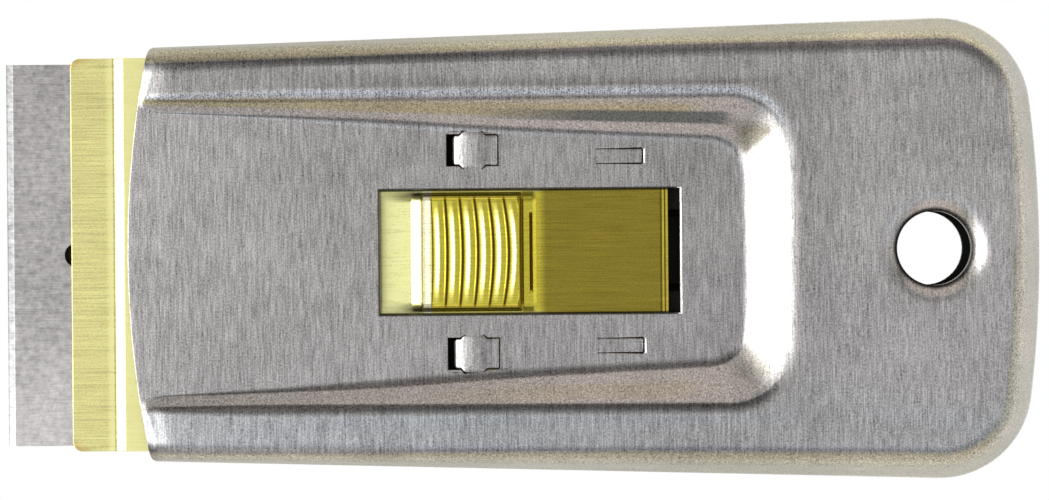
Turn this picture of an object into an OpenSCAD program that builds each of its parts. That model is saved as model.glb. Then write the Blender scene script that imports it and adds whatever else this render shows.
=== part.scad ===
// Razor blade scraper: a stamped steel body with a sliding blade carrier.
// X runs from the cutting edge to the hang hole, Y across the blade, Z up from the ground.

/* [Blade] */
// Length of the cutting edge
blade_len = 38.1; // [34:0.1:44]
// Depth of the blade from edge to back
blade_depth = 19; // [17:0.1:22]
// Thickness of the blade
blade_t = 0.23; // [0.15:0.01:0.3]
// Width of the honed strip
bevel_len = 0.7; // [0.4:0.05:1.2]
// Diameter of the centre hole
blade_hole_d = 2.35; // [1.8:0.05:3]
// Distance of the centre hole from the cutting edge
blade_hole_setback = 6.9; // [6:0.05:8]
// Length of the end notches
notch_len = 3; // [2:0.1:3.5]
// Depth of the end notches
notch_depth = 1.5; // [1:0.1:2]
// Distance of the end notches from the cutting edge
notch_setback = 9.2; // [8.5:0.1:10]
// Width of the folded spine
spine_w = 5.8; // [4.5:0.1:6.6]
// Thickness of the spine's strip
spine_t = 0.35; // [0.25:0.05:0.5]

/* [Blade slide] */
// Thickness of the carrier's sheet
slide_t = 0.5; // [0.35:0.05:0.7]
// Overhang of the lip past each end of the blade
lip_margin = 0.55; // [0.3:0.05:0.8]
// Distance of the lip's front edge behind the cutting edge
lip_setback = 6.5; // [5.5:0.1:7.5]
// Run of the step up to the tongue
step_run = 0.95; // [0.7:0.05:1.2]
// Room between the step and the blade's spine
spine_room = 1.7; // [1:0.1:2.2]
// Radius of the lip's front corners
lip_corner_r = 1; // [0.5:0.1:2]
// Length of the full-width part behind the spine
wide_margin = 2.65; // [2.2:0.05:4]
// Length of the shoulders that narrow down to the tongue
shoulder_len = 3; // [2:0.1:5]
// Width of the tongue outside its slots
tongue_margin = 1.6; // [1.2:0.1:2]
// Radius of the tongue's rear corners
tongue_corner_r = 1.5; // [0.8:0.1:3]

/* [Thumb button] */
// Length of the button over its feet
button_len = 12.3; // [10:0.1:15]
// Width of the button
button_w = 11.6; // [10:0.1:13]
// Height of the button's top above the tongue, below its ribs
button_h = 2; // [1.6:0.1:3]
// Run of the button's front wall
button_front_run = 1.1; // [0.7:0.1:1.8]
// Run of the button's rear wall
button_rear_run = 1.2; // [0.7:0.1:1.8]
// Rounding of the button's ends
button_end_r = 1.5; // [1:0.1:2]
// Number of ribs
rib_count = 7; // [4:1:9]
// Distance of the outer ribs from the edges of the button's top
rib_inset = 0.7; // [0.6:0.05:1]
// Height of a rib
rib_rise = 0.35; // [0.2:0.01:0.45]

/* [Lower jaw] */
// Thickness of the spring leaf
jaw_t = 0.35; // [0.25:0.05:0.5]
// Inset of the jaw's sides from the ends of the blade
jaw_inset = 0.25; // [0:0.05:1]
// Distance of the jaw's front edge behind the cutting edge
jaw_setback = 4.8; // [4:0.1:6]
// Length of the strip that bears on the blade
grip_len = 0.9; // [0.6:0.05:1.4]
// Run of the joggle behind the bearing strip
grip_run = 0.4; // [0.3:0.05:0.8]
// Run of the joggle behind the spine
heel_run = 1.8; // [1.4:0.1:2.6]
// Length of the tail that is joined to the carrier
tail_len = 9; // [7:0.1:11]
// Gap between the tail's sides and the slots of the tongue
tail_gap = 0.5; // [0.3:0.05:1]
// Rounding of the jaw's corners
jaw_corner_r = 1.2; // [0.6:0.1:2]
// Diameter of the eyelets that join jaw and carrier
eyelet_d = 2.6; // [2.2:0.1:3]
// Diameter of the hole through an eyelet
eyelet_bore_d = 1.6; // [1.2:0.1:1.9]
// Width of an eyelet's spread head beyond its shank
eyelet_head_w = 0.6; // [0.4:0.05:0.9]
// Thickness of an eyelet's spread head
eyelet_head_t = 0.3; // [0.2:0.05:0.45]
// Distance of the eyelets from the sides of the tail
eyelet_inset = 2.8; // [2.4:0.1:4]
// Gap between an eyelet and its hole in the jaw
eyelet_gap = 0.05; // [0.03:0.01:0.1]

/* [Body] */
// Distance of the cutting edge in front of the body
blade_reach = 12.3; // [10.5:0.1:13]
// Gap at the foot between the lip's side and the inside of the wall
mouth_gap = 0.55; // [0.5:0.05:1]
// Growth of the body's half width from the front edge to the rear end
side_flare = 2.7; // [1.5:0.1:4]
// Run of the side walls in plan at the front edge
front_wall_run = 1.5; // [1.3:0.05:1.6]
// Run of the side walls in plan at the rear end
side_wall_run = 3; // [2:0.1:4]
// Run of the rear wall in plan
rear_wall_run = 3.5; // [2.5:0.1:4.5]
// Radius of the rear corners of the foot
foot_corner_r = 9.3; // [7:0.1:12]
// Radius of the rear corners of the flat band
crown_corner_r = 6.3; // [4.5:0.1:8]
// Length of the deck behind the recess
deck_len = 25.1; // [22:0.1:32]
// Height of the band at the rear end
rear_h = 7.6; // [6.5:0.1:10]
// Radius of the bulged rear end in plan
end_r = 120; // [80:1:200]
// Radius of the convex front edge in plan
front_edge_r = 100; // [80:1:160]
// Thickness of the sheet
shell_t = 0.6; // [0.45:0.05:0.8]
// Inside radius of the bend between the band and the walls
bend_inner_r = 0.4; // [0.2:0.05:0.45]
// Outer radius of the curled rim
rim_r = 0.45; // [0.3:0.05:0.6]
// Width of the rim that is curled in under the back plate
rim_w = 2; // [1.5:0.1:3]

/* [Side bands] */
// Width of a flat band beside the recess at the front edge
band_w = 4.45; // [3.8:0.05:5]
// Distance from the front edge to where the bands begin to rise
nose_setback = 1.1; // [0.7:0.1:1.8]
// Length over which the bands rise
nose_len = 2; // [1.4:0.1:3]
// Height that the bands rise
nose_rise = 0.5; // [0.3:0.05:0.8]
// Height of the bands above the panel at the front edge
band_step = 0.06; // [0.04:0.01:0.2]

/* [Sunk panel] */
// Distance from the window to the rear end of the flat panel
panel_margin = 6.6; // [5.5:0.1:9]
// Radius of the flat panel's rear corners
panel_corner_r = 4; // [3:0.1:5]
// Run of the recess's rear wall
recess_wall_run = 4.7; // [3.5:0.1:6]
// Radius of the bulged rear end of the panel and its recess in plan
recess_end_r = 230; // [150:10:400]
// Radius of the recess's rear corners at the shoulder
recess_corner_r = 6.8; // [5.5:0.1:8.5]
// Run of the recess's side walls for each unit of their depth
wall_run_share = 1.35; // [1.1:0.05:1.5]
// How softly the recess walls blend at their top and foot
wall_soft_share = 0.7; // [0.4:0.05:0.8]

/* [Window] */
// Distance of the window from the front edge
window_setback = 25; // [23:0.1:28]
// Room in front of the button when it is fully forward
window_room = 1.15; // [0.6:0.05:2]
// Gap behind the button when it is fully back
button_gap = 0.15; // [0.1:0.01:0.4]
// Gap on each side of the button
button_side_gap = 0.4; // [0.25:0.05:0.8]

/* [Lanced bridges] */
// Distance of the bridge openings from the front edge
bridge_setback = 31.7; // [29:0.1:35]
// Length of a bridge opening
bridge_len = 5.2; // [4.6:0.1:6]
// Width of a bridge opening
bridge_w = 3.2; // [2.6:0.1:3.6]
// Distance of the bridges from the side of the recess
bridge_inset = 4.7; // [4.3:0.05:5.2]
// Width of the necks that carry a bridge
neck_w = 2; // [1.5:0.1:2.4]
// Gap in front of the bridge's front wing
wing_gap = 0.75; // [0.5:0.05:1]
// Depth that the front wing reaches into the carrier's slot
wing_reach = 0.3; // [0.15:0.01:0.45]

/* [Stop tabs] */
// Distance of the stop tabs from the front edge
tab_setback = 46.6; // [44:0.1:49]
// Length of a stop tab
tab_len = 4.5; // [3.5:0.1:5.5]
// Width of a stop tab
tab_w = 1.4; // [1:0.1:2]
// Distance of the stop tabs from the side of the recess
tab_inset = 5.4; // [4.8:0.1:6.4]
// Width of the sheared gap round bridges and tabs
lance_gap = 0.14; // [0.08:0.01:0.25]

/* [Hang hole] */
// Diameter of the hang hole
hole_d = 7.3; // [5:0.1:9]
// Distance of the hang hole from the rear end
hole_setback = 11.5; // [9.5:0.1:13]
// Radius of the rolled edge of the hole
roll_r = 0.8; // [0.65:0.05:1.1]
// Length of the straight collar below the rolled edge
collar_len = 0.8; // [0.5:0.1:1.6]

/* [Back plate] */
// Thickness of the plate
plate_t = 0.45; // [0.3:0.05:0.6]
// Gap between the plate's edge and the inside of the foot
plate_gap = 0.3; // [0.25:0.05:0.6]
// Setback of the plate's front edge behind the shell's front edge
plate_setback = 1.2; // [0.5:0.1:2]
// Room between the jaw, fully back, and the slide rails
rail_room = 4.8; // [3:0.1:6]
// Length of the rails behind the carrier, fully back
rail_end = 1.6; // [1.2:0.1:3]
// Width of a rail at its foot
rail_w = 4.6; // [3.8:0.1:5.4]
// Distance of the rails from the centre line
rail_y = 5.4; // [4:0.1:6]
// Run of a rail's sloping flanks
rail_run = 1; // [0.6:0.1:1.3]

/* [Travel] */
// Travel forward from the working position to the blade change stop
travel_out = 2; // [1.5:0.1:3]
// Depth of the cutting edge behind the front edge when fully back
edge_cover = 0.07; // [0:0.01:0.5]
// Running gap between moving sheets
run_gap = 0.1; // [0.07:0.01:0.14]
// Gap between the carrier's rear lip and the stop tabs, fully forward
stop_gap = 0.1; // [0.05:0.01:0.2]
// Gap between the spine and the carrier above it
seat_gap = 0.05; // [0.03:0.01:0.1]
// Room between the carrier and the panel above it
panel_gap = 0.4; // [0.35:0.01:0.6]
// Gap on each side of a bridge's wing in the carrier's slot
slot_gap = 0.2; // [0.1:0.01:0.3]

/* [Hidden] */
$fn = 72;
// Facets of the wide arc that trims the front edge
front_edge_fn = 200;

// Flat steps along a side, up a bend or a wall, and round a corner or the rear end
side_steps = 6;
bend_steps = 4;
wall_steps = 6;
corner_steps = 7;
end_steps = 4;

// Overrun of every cut
over = 0.5;
// Overlap of a formed tongue with the sheet that it is cut from
root_lap = 0.4;
// Fall of a formed tongue inside that overlap
root_fall = 0.03;
// Height by which the rolled edge's centre is raised, so that it meets the band at an edge
roll_lift = 0.03;
// Part of the rolled edge's radius that lies outside the hole
roll_share = 0.9;
// Shift of a wall's lower face for each unit of sheet thickness
wall_grow_share = 0.41;

// Travel back from the working position until the edge is covered
edge_sag = front_edge_r - sqrt(front_edge_r * front_edge_r - blade_len * blade_len / 4);
travel_in = blade_reach + edge_sag + edge_cover;

// Lengths of the window, panel, recess and body, from the front edge
window_len = window_room + travel_out + button_len + travel_in + button_gap;
panel_len = window_setback + window_len + panel_margin;
recess_len = panel_len + recess_wall_run;
body_len = recess_len + deck_len;

// Widths that follow from the blade
lip_w = blade_len + 2 * lip_margin;
jaw_w = blade_len - 2 * jaw_inset;
foot_front_w = lip_w + 2 * (mouth_gap + shell_t);
foot_rear_w = foot_front_w + 2 * side_flare;
crown_front_w = foot_front_w - 2 * front_wall_run;
crown_rear_w = foot_rear_w - 2 * side_wall_run;
recess_w = crown_front_w - 2 * band_w;

// Widths that follow from the button and the recess
window_w = button_w + 2 * button_side_gap;
bridge_y = recess_w / 2 - bridge_inset;
tab_y = recess_w / 2 - tab_inset;
tongue_w = 2 * bridge_y + bridge_w + 2 * (slot_gap + tongue_margin);
tail_w = 2 * bridge_y - bridge_w - 2 * (slot_gap + tail_gap);
eyelet_y = tail_w / 2 - eyelet_inset;

// Places along X
x_front = blade_reach - (blade_reach + body_len) / 2;
x_rear = x_front + body_len;
x_edge = x_front - blade_reach;
x_blank = x_front - nose_len;
x_nose = x_front + nose_setback;
x_band = x_nose + nose_len;
x_hole = x_rear - hole_setback;
x_back = x_edge + blade_depth;
x_spine = x_back + spine_t - spine_w;
x_lip = x_edge + lip_setback;
x_step = x_spine - spine_room - step_run;
x_wide = x_back + spine_t + wide_margin;
x_window = x_front + window_setback;
x_button = x_window + window_room + travel_out;
x_wing = x_front + bridge_setback + wing_gap;
x_tail = x_front + tab_setback + tab_len + travel_out + stop_gap + slide_t;
x_jaw = x_edge + jaw_setback;
x_heel = x_back + spine_t + run_gap;
x_jaw_tail = x_heel + heel_run + tail_len;
x_eyelet = x_heel + heel_run + tail_len / 2;
x_rail = x_jaw_tail + travel_in + rail_room;
x_rail_end = x_tail + travel_in + rail_end;

// Levels along Z
z_plate_top = shell_t + plate_t;
z_jaw = z_plate_top + run_gap;
z_jaw_top = z_jaw + jaw_t;
z_blade = z_jaw_top + spine_t;
z_blade_top = z_blade + blade_t;
z_spine_top = z_blade_top + spine_t;
z_lip_top = z_blade_top + slide_t;
z_slide = z_spine_top + seat_gap;
z_slide_top = z_slide + slide_t;
z_panel = z_slide_top + panel_gap + shell_t;
z_above = rear_h + over;

// Depths of what is formed down from the panel, clear of the carrier below it
form_drop = panel_gap - run_gap;
bridge_drop = panel_gap - 2 * run_gap;
wing_drop = panel_gap + shell_t - bridge_drop + wing_reach;

// Rise of the bands along the body
band_slope_share = (rear_h - z_panel - band_step - nose_rise) / (x_rear - x_band);

// Radii that follow from named sizes
bend_r = bend_inner_r + shell_t;
hole_r = hole_d / 2;
eyelet_r = eyelet_d / 2;

// Share of x between a and b, held between 0 and 1
function share(x, a, b) = min(1, max(0, (x - a) / (b - a)));
// Soft rise from 0 to 1
function soft(u) = u * u * (3 - 2 * u);
// Depth of the panel below the bands
function depth(x) =
    band_step + nose_rise * soft(share(x, x_nose, x_band)) + band_slope_share * max(0, x - x_band);
// Height of the bands' upper face
function band_z(x) = z_panel + depth(x);

// Stations along a straight side: the blank's front, the rise of the nose, then on to xt
function side_stations(x0, xt) =
    concat(
        [x0],
        [for (i = [0:bend_steps]) x_nose + nose_len * i / bend_steps],
        [for (i = [1:side_steps - 1]) x_band + (xt - x_band) * i / side_steps]
    );

// A point at radius r and angle a
function polar(r, a) = [r * cos(a), r * sin(a)];

// Half of a plan outline, from the front line round to the middle of the rear arc.
// h0 and h1 are half widths at the front edge and at the rear end, xr the rear end,
// rc the corner radius and re the radius of the bulged rear arc.
function half_outline(x0, h0, h1, xr, rc, re) =
    let (m = (h1 - h0) / body_len)
    let (q = sqrt(1 + m * m))
    let (xc = xr - re)
    let (b = h0 - m * x_front - rc * q)
    let (half_b = m * b - xc)
    let (c = xc * xc + b * b - (re - rc) * (re - rc))
    let (cx = (sqrt(half_b * half_b - q * q * c) - half_b) / (q * q))
    let (cy = b + m * cx)
    let (a1 = 90 + atan(m))
    let (a2 = atan2(cy, cx - xc))
    concat(
        [for (x = side_stations(x0, cx + rc * cos(a1))) [x, h0 + m * (x - x_front)]],
        [for (i = [0:corner_steps]) [cx, cy] + polar(rc, a1 + (a2 - a1) * i / corner_steps)],
        [for (i = [1:end_steps]) [xc, 0] + polar(re, a2 * (1 - i / end_steps))]
    );

// The whole loop: the half outline and its mirror image
function loop(half) =
    concat(half, [for (i = [len(half) - 2:-1:0]) [half[i].x, -half[i].y]]);

// The foot's outline, moved inward by d
function foot(d, x0) =
    let (h0 = foot_front_w / 2 - d)
    let (h1 = foot_rear_w / 2 - d)
    loop(half_outline(x0, h0, h1, x_rear - d, foot_corner_r - d, end_r - d));

// The outline of the flat band, where the bend ends
function crown(x0) =
    let (xr = x_rear - rear_wall_run)
    loop(half_outline(x0, crown_front_w / 2, crown_rear_w / 2, xr, crown_corner_r, end_r));

// A point of a loop set at height z
function at_z(p, z) = [p.x, p.y, z];
// A point on the curve from a to c that is pulled toward b
function pulled(a, b, c, u) = (1 - u) * (1 - u) * a + 2 * u * (1 - u) * b + u * u * c;

// Wall and bend rings between a foot loop at height z0 and the crown, for bend radius r.
// drop is how far the face lies below the bands' upper face.
function wall_rings(feet, crowns, z0, r, drop) = [
    for (j = [0:bend_steps])
        [
            for (i = [0:len(feet) - 1])
                let (top = at_z(crowns[i], band_z(crowns[i].x) - drop))
                let (low = at_z(feet[i], z0))
                let (out = feet[i] - crowns[i])
                let (corner = top + at_z(out * r / norm(out), 0))
                let (start = corner + (low - corner) * r / norm(low - corner))
                pulled(start, corner, top, j / bend_steps)
        ]
];

// A closed solid through rings of equal length, each symmetrical about the X axis
module loft(rings) {
    n = len(rings[0]);
    half = (n - 1) / 2;
    last = (len(rings) - 1) * n;
    sides = [
        for (k = [0:len(rings) - 2])
            for (i = [0:n - 1])
                let (j = (i + 1) % n)
                [k * n + i, k * n + j, k * n + n + j, k * n + n + i]
    ];
    lids = [
        for (i = [0:half - 1])
            i == half - 1 ? [i, i + 1, i + 2] : [i, i + 1, n - 2 - i, n - 1 - i]
    ];
    bottom = [for (f = lids) [for (k = [len(f) - 1:-1:0]) f[k]]];
    top = [for (f = lids) [for (v = f) v + last]];
    polyhedron(points = [for (r = rings) each r], faces = concat(bottom, sides, top));
}

// Outer form of the body, from the curled rim to the bands
module outer_form() {
    feet = foot(0, x_blank);
    inner = foot(rim_r, x_blank);
    hem = [
        for (j = [0:bend_steps])
            [
                for (i = [0:len(feet) - 1])
                    pulled(at_z(inner[i], 0), at_z(feet[i], 0), at_z(feet[i], rim_r), j / bend_steps)
            ]
    ];
    loft(concat(hem, wall_rings(feet, crown(x_blank), rim_r, bend_r, 0)));
}

// Room inside the body, above the curled rim
module inner_form() {
    feet = foot(shell_t, x_blank + over);
    floor_ring = [for (p = feet) at_z(p, shell_t)];
    rings = wall_rings(feet, crown(x_blank + over), shell_t, bend_r - shell_t, shell_t);
    loft(concat([floor_ring], rings));
}

// Space above the sunk panel; t moves its faces down and out by a sheet thickness
module recess_form(t) {
    x0 = x_blank - over;
    g = t * wall_grow_share;
    slope = wall_run_share * band_slope_share;
    h_front = recess_w / 2 + g - wall_run_share * depth(x_band) + slope * (x_band - x_front);
    inner_half = half_outline(
        x0, h_front, h_front - slope * body_len, x_front + panel_len + g, panel_corner_r + g, recess_end_r
    );
    inner = loop([
        for (p = inner_half) p.x < x_band ? [p.x, recess_w / 2 + g - wall_run_share * depth(p.x)] : p
    ]);
    outer_h = recess_w / 2 + g;
    outer_half = half_outline(
        x0, outer_h, outer_h, x_front + recess_len + g, recess_corner_r + g, recess_end_r
    );
    outer = loop(outer_half);
    walls = [
        for (j = [0:wall_steps + 1])
            let (u = j / wall_steps)
            let (rise = u - wall_soft_share * sin(360 * u) / (2 * PI))
            [
                for (i = [0:len(inner) - 1])
                    let (p = inner[i] + (outer[i] - inner[i]) * u)
                    at_z(p, z_panel - t + depth(p.x) * rise)
            ]
    ];
    lid = [for (p = walls[wall_steps + 1]) at_z(p, z_above)];
    loft(concat(walls, [lid]));
}

// A 2D shape drawn in X and Z, drawn out along Y
module along_y(w) {
    rotate([90, 0, 0]) linear_extrude(w, center = true) children();
}

// A 2D shape drawn in Y and Z, drawn out along X from x0
module along_x(x0, l) {
    translate([x0, 0, 0]) rotate([90, 0, 90]) linear_extrude(l) children();
}

// Both places at plus and minus y
module pair(y) {
    for (side = [-1, 1]) translate([0, side * y, 0]) children();
}

// The outline of a sheet of thickness t whose upper face follows a path
function right_of(a, b) = [b.y - a.y, a.x - b.x] / norm(b - a);
function sheet(path, t) =
    let (n = len(path))
    let (lower = [
        for (i = [0:n - 1])
            let (u = right_of(path[max(i - 1, 0)], path[max(i, 1)]))
            let (v = right_of(path[min(i, n - 2)], path[min(i + 1, n - 1)]))
            path[i] + t * (u + v) / (1 + u * v)
    ])
    concat(path, [for (i = [n - 1:-1:0]) lower[i]]);

// A rectangle from x0 to x1 about the X axis, with round corners
module plan_rect(x0, x1, w, r) {
    translate([x0 + r, -w / 2]) square([x1 - x0 - 2 * r, w]);
    translate([x0, r - w / 2]) square([x1 - x0, w - 2 * r]);
    for (x = [x0 + r, x1 - r], y = [r - w / 2, w / 2 - r]) translate([x, y]) circle(r);
}

// A tapering step between two widths
module shoulder(x0, x1, w0, w1) {
    polygon([[x0, -w0 / 2], [x1, -w1 / 2], [x1, w1 / 2], [x0, w0 / 2]]);
}

// A pressed hump with sloping flanks; run is taken up by each flank
module hump(x0, x1, w, z0, z1, run) {
    intersection() {
        along_y(w) polygon([[x0, z0], [x0 + run, z1], [x1 - run, z1], [x1, z0]]);
        along_x(x0, x1 - x0) polygon([[-w / 2, z0], [run - w / 2, z1], [w / 2 - run, z1], [w / 2, z0]]);
    }
}

// The body is trimmed in front to a convex edge
module front_limit(setback) {
    translate([x_front + setback + front_edge_r, 0, -over])
        cylinder(r = front_edge_r, h = z_above + 2 * over, $fn = front_edge_fn);
}

// Openings that are sheared through the panel
module panel_cuts() {
    h = shell_t + 2 * over;
    z = z_panel - shell_t - over;
    x_bridge = x_front + bridge_setback;
    translate([x_window, -window_w / 2, z]) cube([window_len, window_w, h]);
    pair(bridge_y) translate([x_bridge, -bridge_w / 2, z]) cube([bridge_len, bridge_w, h]);
    slit_w = tab_w + 2 * lance_gap;
    pair(tab_y) translate([x_front + tab_setback, -slit_w / 2, z]) cube([tab_len + lance_gap, slit_w, h]);
}

// A bridge across its opening, with a dipped front wing and a flatter rear wing
module bridge() {
    x0 = x_wing;
    x1 = x_front + bridge_setback + bridge_len - lance_gap;
    xm = x_front + bridge_setback + (bridge_len - neck_w) / 2;
    top = z_panel - bridge_drop;
    bow = [for (i = [0:bend_steps]) pulled([x0, top - wing_drop], [x0, top], [xm, top], i / bend_steps)];
    intersection() {
        along_y(bridge_w + 2 * root_lap) polygon(sheet(concat(bow, [[x1, top - root_fall]]), shell_t));
        union() {
            w = bridge_w - 2 * lance_gap;
            translate([x0 - shell_t, -w / 2, 0]) cube([x1 - x0 + 2 * shell_t, w, z_panel]);
            translate([xm, -bridge_w / 2 - root_lap, 0]) cube([neck_w, bridge_w + 2 * root_lap, z_panel]);
        }
    }
}

// A stop tab that is bent down toward its free end
module stop_tab() {
    x0 = x_front + tab_setback;
    path = [
        [x0 - root_lap, z_panel - root_fall],
        [x0 + tab_len / 2, z_panel - root_fall - form_drop / 2],
        [x0 + tab_len, z_panel - form_drop]
    ];
    along_y(tab_w) polygon(sheet(path, shell_t));
}

// The collar drawn down round the hang hole
module hole_collar() {
    h = roll_r + collar_len;
    translate([x_hole, 0, band_z(x_hole) - h]) cylinder(r = hole_r + shell_t, h = h - shell_t / 2);
}

// The rolled edge that opens the hole out into the sloping deck
module rolled_edge() {
    centre = [hole_r + roll_r * roll_share, roll_lift - roll_r];
    arc = [for (i = [0:corner_steps]) centre + polar(roll_r, 180 - 90 * i / corner_steps)];
    translate([x_hole, 0, band_z(x_hole)])
        rotate([0, -atan(band_slope_share), 0])
            rotate_extrude()
                polygon(concat([[0, centre.y]], arc, [[centre.x, over], [0, over]]));
}

// The hole through both sheets
module hang_bore() {
    translate([x_hole, 0, -over]) cylinder(r = hole_r, h = z_above + over);
}

// Drawn steel body with its sunk panel
module top_shell() {
    color("#b9b6b1") {
        difference() {
            union() {
                intersection() {
                    difference() {
                        outer_form();
                        recess_form(0);
                        difference() {
                            inner_form();
                            recess_form(shell_t);
                        }
                        translate([0, 0, -over])
                            linear_extrude(shell_t + 2 * over) polygon(foot(rim_w, x_blank - over));
                        panel_cuts();
                    }
                    front_limit(0);
                }
                pair(bridge_y) bridge();
                pair(tab_y) stop_tab();
                hole_collar();
            }
            rolled_edge();
            hang_bore();
        }
    }
}

// Flat plate that closes the body, with two slide rails pressed up out of it
module back_plate() {
    rail_top = z_slide - run_gap;
    hollow_w = rail_w - 2 * plate_t;
    hollow_top = rail_top - plate_t;
    color("#a8a6a2") difference() {
        union() {
            intersection() {
                translate([0, 0, shell_t])
                    linear_extrude(plate_t) polygon(foot(shell_t + plate_gap, x_blank));
                front_limit(plate_setback);
            }
            pair(rail_y) hump(x_rail, x_rail_end, rail_w, shell_t, rail_top, rail_run);
        }
        pair(rail_y)
            hump(x_rail + plate_t, x_rail_end - plate_t, hollow_w, shell_t - over, hollow_top, rail_run);
        hang_bore();
    }
}

// The button's side view: sloping walls, moved in by d, with a top at height h
module button_side(d, h) {
    x1 = x_button + button_len;
    polygon([
        [x_button + d, z_slide - over],
        [x_button + d, z_slide_top],
        [x_button + button_front_run + d, z_slide_top + h],
        [x1 - button_rear_run - d, z_slide_top + h],
        [x1 - d, z_slide_top],
        [x1 - d, z_slide - over]
    ]);
}

// The button's end view: upright sides with round shoulders
module button_end(d, h) {
    r = button_end_r - d;
    w = button_w - 2 * d;
    z1 = z_slide_top + h;
    z0 = z_slide - over;
    translate([-w / 2, z0]) square([w, z1 - r - z0]);
    translate([r - w / 2, z0]) square([w - 2 * r, z1 - z0]);
    for (y = [r - w / 2, w / 2 - r]) translate([y, z1 - r]) circle(r);
}

// Round ribs across the button's top, meeting in sharp valleys
module ribs() {
    first = x_button + button_front_run + rib_inset;
    last = x_button + button_len - button_rear_run - rib_inset;
    pitch = (last - first) / (rib_count - 1);
    r = (pitch * pitch / 4 + rib_rise * rib_rise) / (2 * rib_rise);
    for (i = [0:rib_count - 1])
        translate([first + i * pitch, z_slide_top + button_h + rib_rise - r]) circle(r);
}

// Solid form of the thumb button
module button() {
    h = button_h + rib_rise;
    intersection() {
        along_y(button_w) {
            button_side(0, button_h);
            intersection() {
                ribs();
                translate([x_button, z_slide_top]) square([button_len, h]);
            }
        }
        along_x(x_button - over, button_len + 2 * over) button_end(0, h);
        translate([x_button - over, -button_w, z_slide])
            cube([button_len + 2 * over, 2 * button_w, h + slide_t]);
    }
}

// Hollow under the button
module button_hollow() {
    intersection() {
        along_y(button_w) button_side(slide_t, button_h - slide_t);
        along_x(x_button, button_len) button_end(slide_t, button_h - slide_t);
    }
}

// Slots in the tongue for the wings of the bridges
module wing_slots() {
    x0 = x_wing - travel_in - slot_gap;
    x1 = x_wing + travel_out + shell_t + slot_gap;
    w = bridge_w + 2 * slot_gap;
    pair(bridge_y) translate([x0, -w / 2, z_slide - over]) cube([x1 - x0, w, slide_t + 2 * over]);
}

// Brass-plated carrier with lip, tongue and thumb button
module blade_slide() {
    path = [
        [x_lip, z_lip_top],
        [x_step, z_lip_top],
        [x_step + step_run, z_slide_top],
        [x_tail - slide_t, z_slide_top],
        [x_tail - slide_t, z_slide_top + form_drop]
    ];
    head_z = z_slide - jaw_t - eyelet_head_t;
    color("#d9c35c") difference() {
        union() {
            intersection() {
                along_y(lip_w) polygon(sheet(path, slide_t));
                linear_extrude(z_above) {
                    plan_rect(x_lip, x_wide, lip_w, lip_corner_r);
                    shoulder(x_wide - lip_corner_r, x_wide + shoulder_len, lip_w, tongue_w);
                    plan_rect(x_wide, x_tail, tongue_w, tongue_corner_r);
                }
            }
            button();
            pair(eyelet_y) translate([x_eyelet, 0, head_z]) {
                cylinder(r = eyelet_r, h = z_slide + slide_t / 2 - head_z);
                cylinder(r = eyelet_r + eyelet_head_w, h = eyelet_head_t);
            }
        }
        button_hollow();
        wing_slots();
        pair(eyelet_y) translate([x_eyelet, 0, head_z - over])
            cylinder(d = eyelet_bore_d, h = z_slide_top - head_z + 2 * over);
    }
}

// Spring leaf that bears on the blade from below
module lower_jaw() {
    path = [
        [x_jaw, z_blade],
        [x_jaw + grip_len, z_blade],
        [x_jaw + grip_len + grip_run, z_jaw_top],
        [x_heel, z_jaw_top],
        [x_heel + heel_run, z_slide],
        [x_jaw_tail, z_slide]
    ];
    color("#3a3937") difference() {
        intersection() {
            along_y(jaw_w) polygon(sheet(path, jaw_t));
            linear_extrude(z_above) {
                plan_rect(x_jaw, x_heel, jaw_w, jaw_corner_r);
                shoulder(x_heel - jaw_corner_r, x_heel + heel_run, jaw_w, tail_w);
                plan_rect(x_heel, x_jaw_tail, tail_w, jaw_corner_r);
            }
        }
        pair(eyelet_y) translate([x_eyelet, 0, z_jaw]) cylinder(r = eyelet_r + eyelet_gap, h = z_slide);
    }
}

// Single-edge blade with a honed edge
module razor_blade() {
    color("#b7b4b3") difference() {
        along_y(blade_len)
            polygon([
                [x_edge, z_blade + blade_t / 2],
                [x_edge + bevel_len, z_blade_top],
                [x_back, z_blade_top],
                [x_back, z_blade],
                [x_edge + bevel_len, z_blade]
            ]);
        translate([x_edge + blade_hole_setback, 0, z_blade - over])
            cylinder(d = blade_hole_d, h = blade_t + 2 * over);
        pair(blade_len / 2)
            translate([x_edge + notch_setback, -notch_depth, z_blade - over])
                cube([notch_len, 2 * notch_depth, blade_t + 2 * over]);
    }
}

// Folded strip that is crimped over the back of the blade
module blade_spine() {
    h = blade_t + 2 * spine_t;
    z = z_blade + blade_t / 2;
    color("#8d8b89") difference() {
        along_y(blade_len) {
            translate([x_spine, z - h / 2]) square([spine_w - h / 2, h]);
            translate([x_spine + spine_w - h / 2, z]) circle(h / 2);
        }
        translate([x_spine - over, -blade_len, z_blade])
            cube([x_back - x_spine + over, 2 * blade_len, blade_t]);
    }
}

top_shell();
back_plate();
blade_slide();
lower_jaw();
razor_blade();
blade_spine();
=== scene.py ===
# %% [markdown]
# # A pocket razor scraper
# The solids are exact already: a stamped steel body with its closing plate, and a carrier that slides a
# single-edge blade in and out. This lesson gives them their looks. Everything stays in metres in the frame
# of the solids, so a finer piece only has to repeat the drawing's sizes to land in its place.

# %% Load the solids
import contextlib
import math

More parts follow.
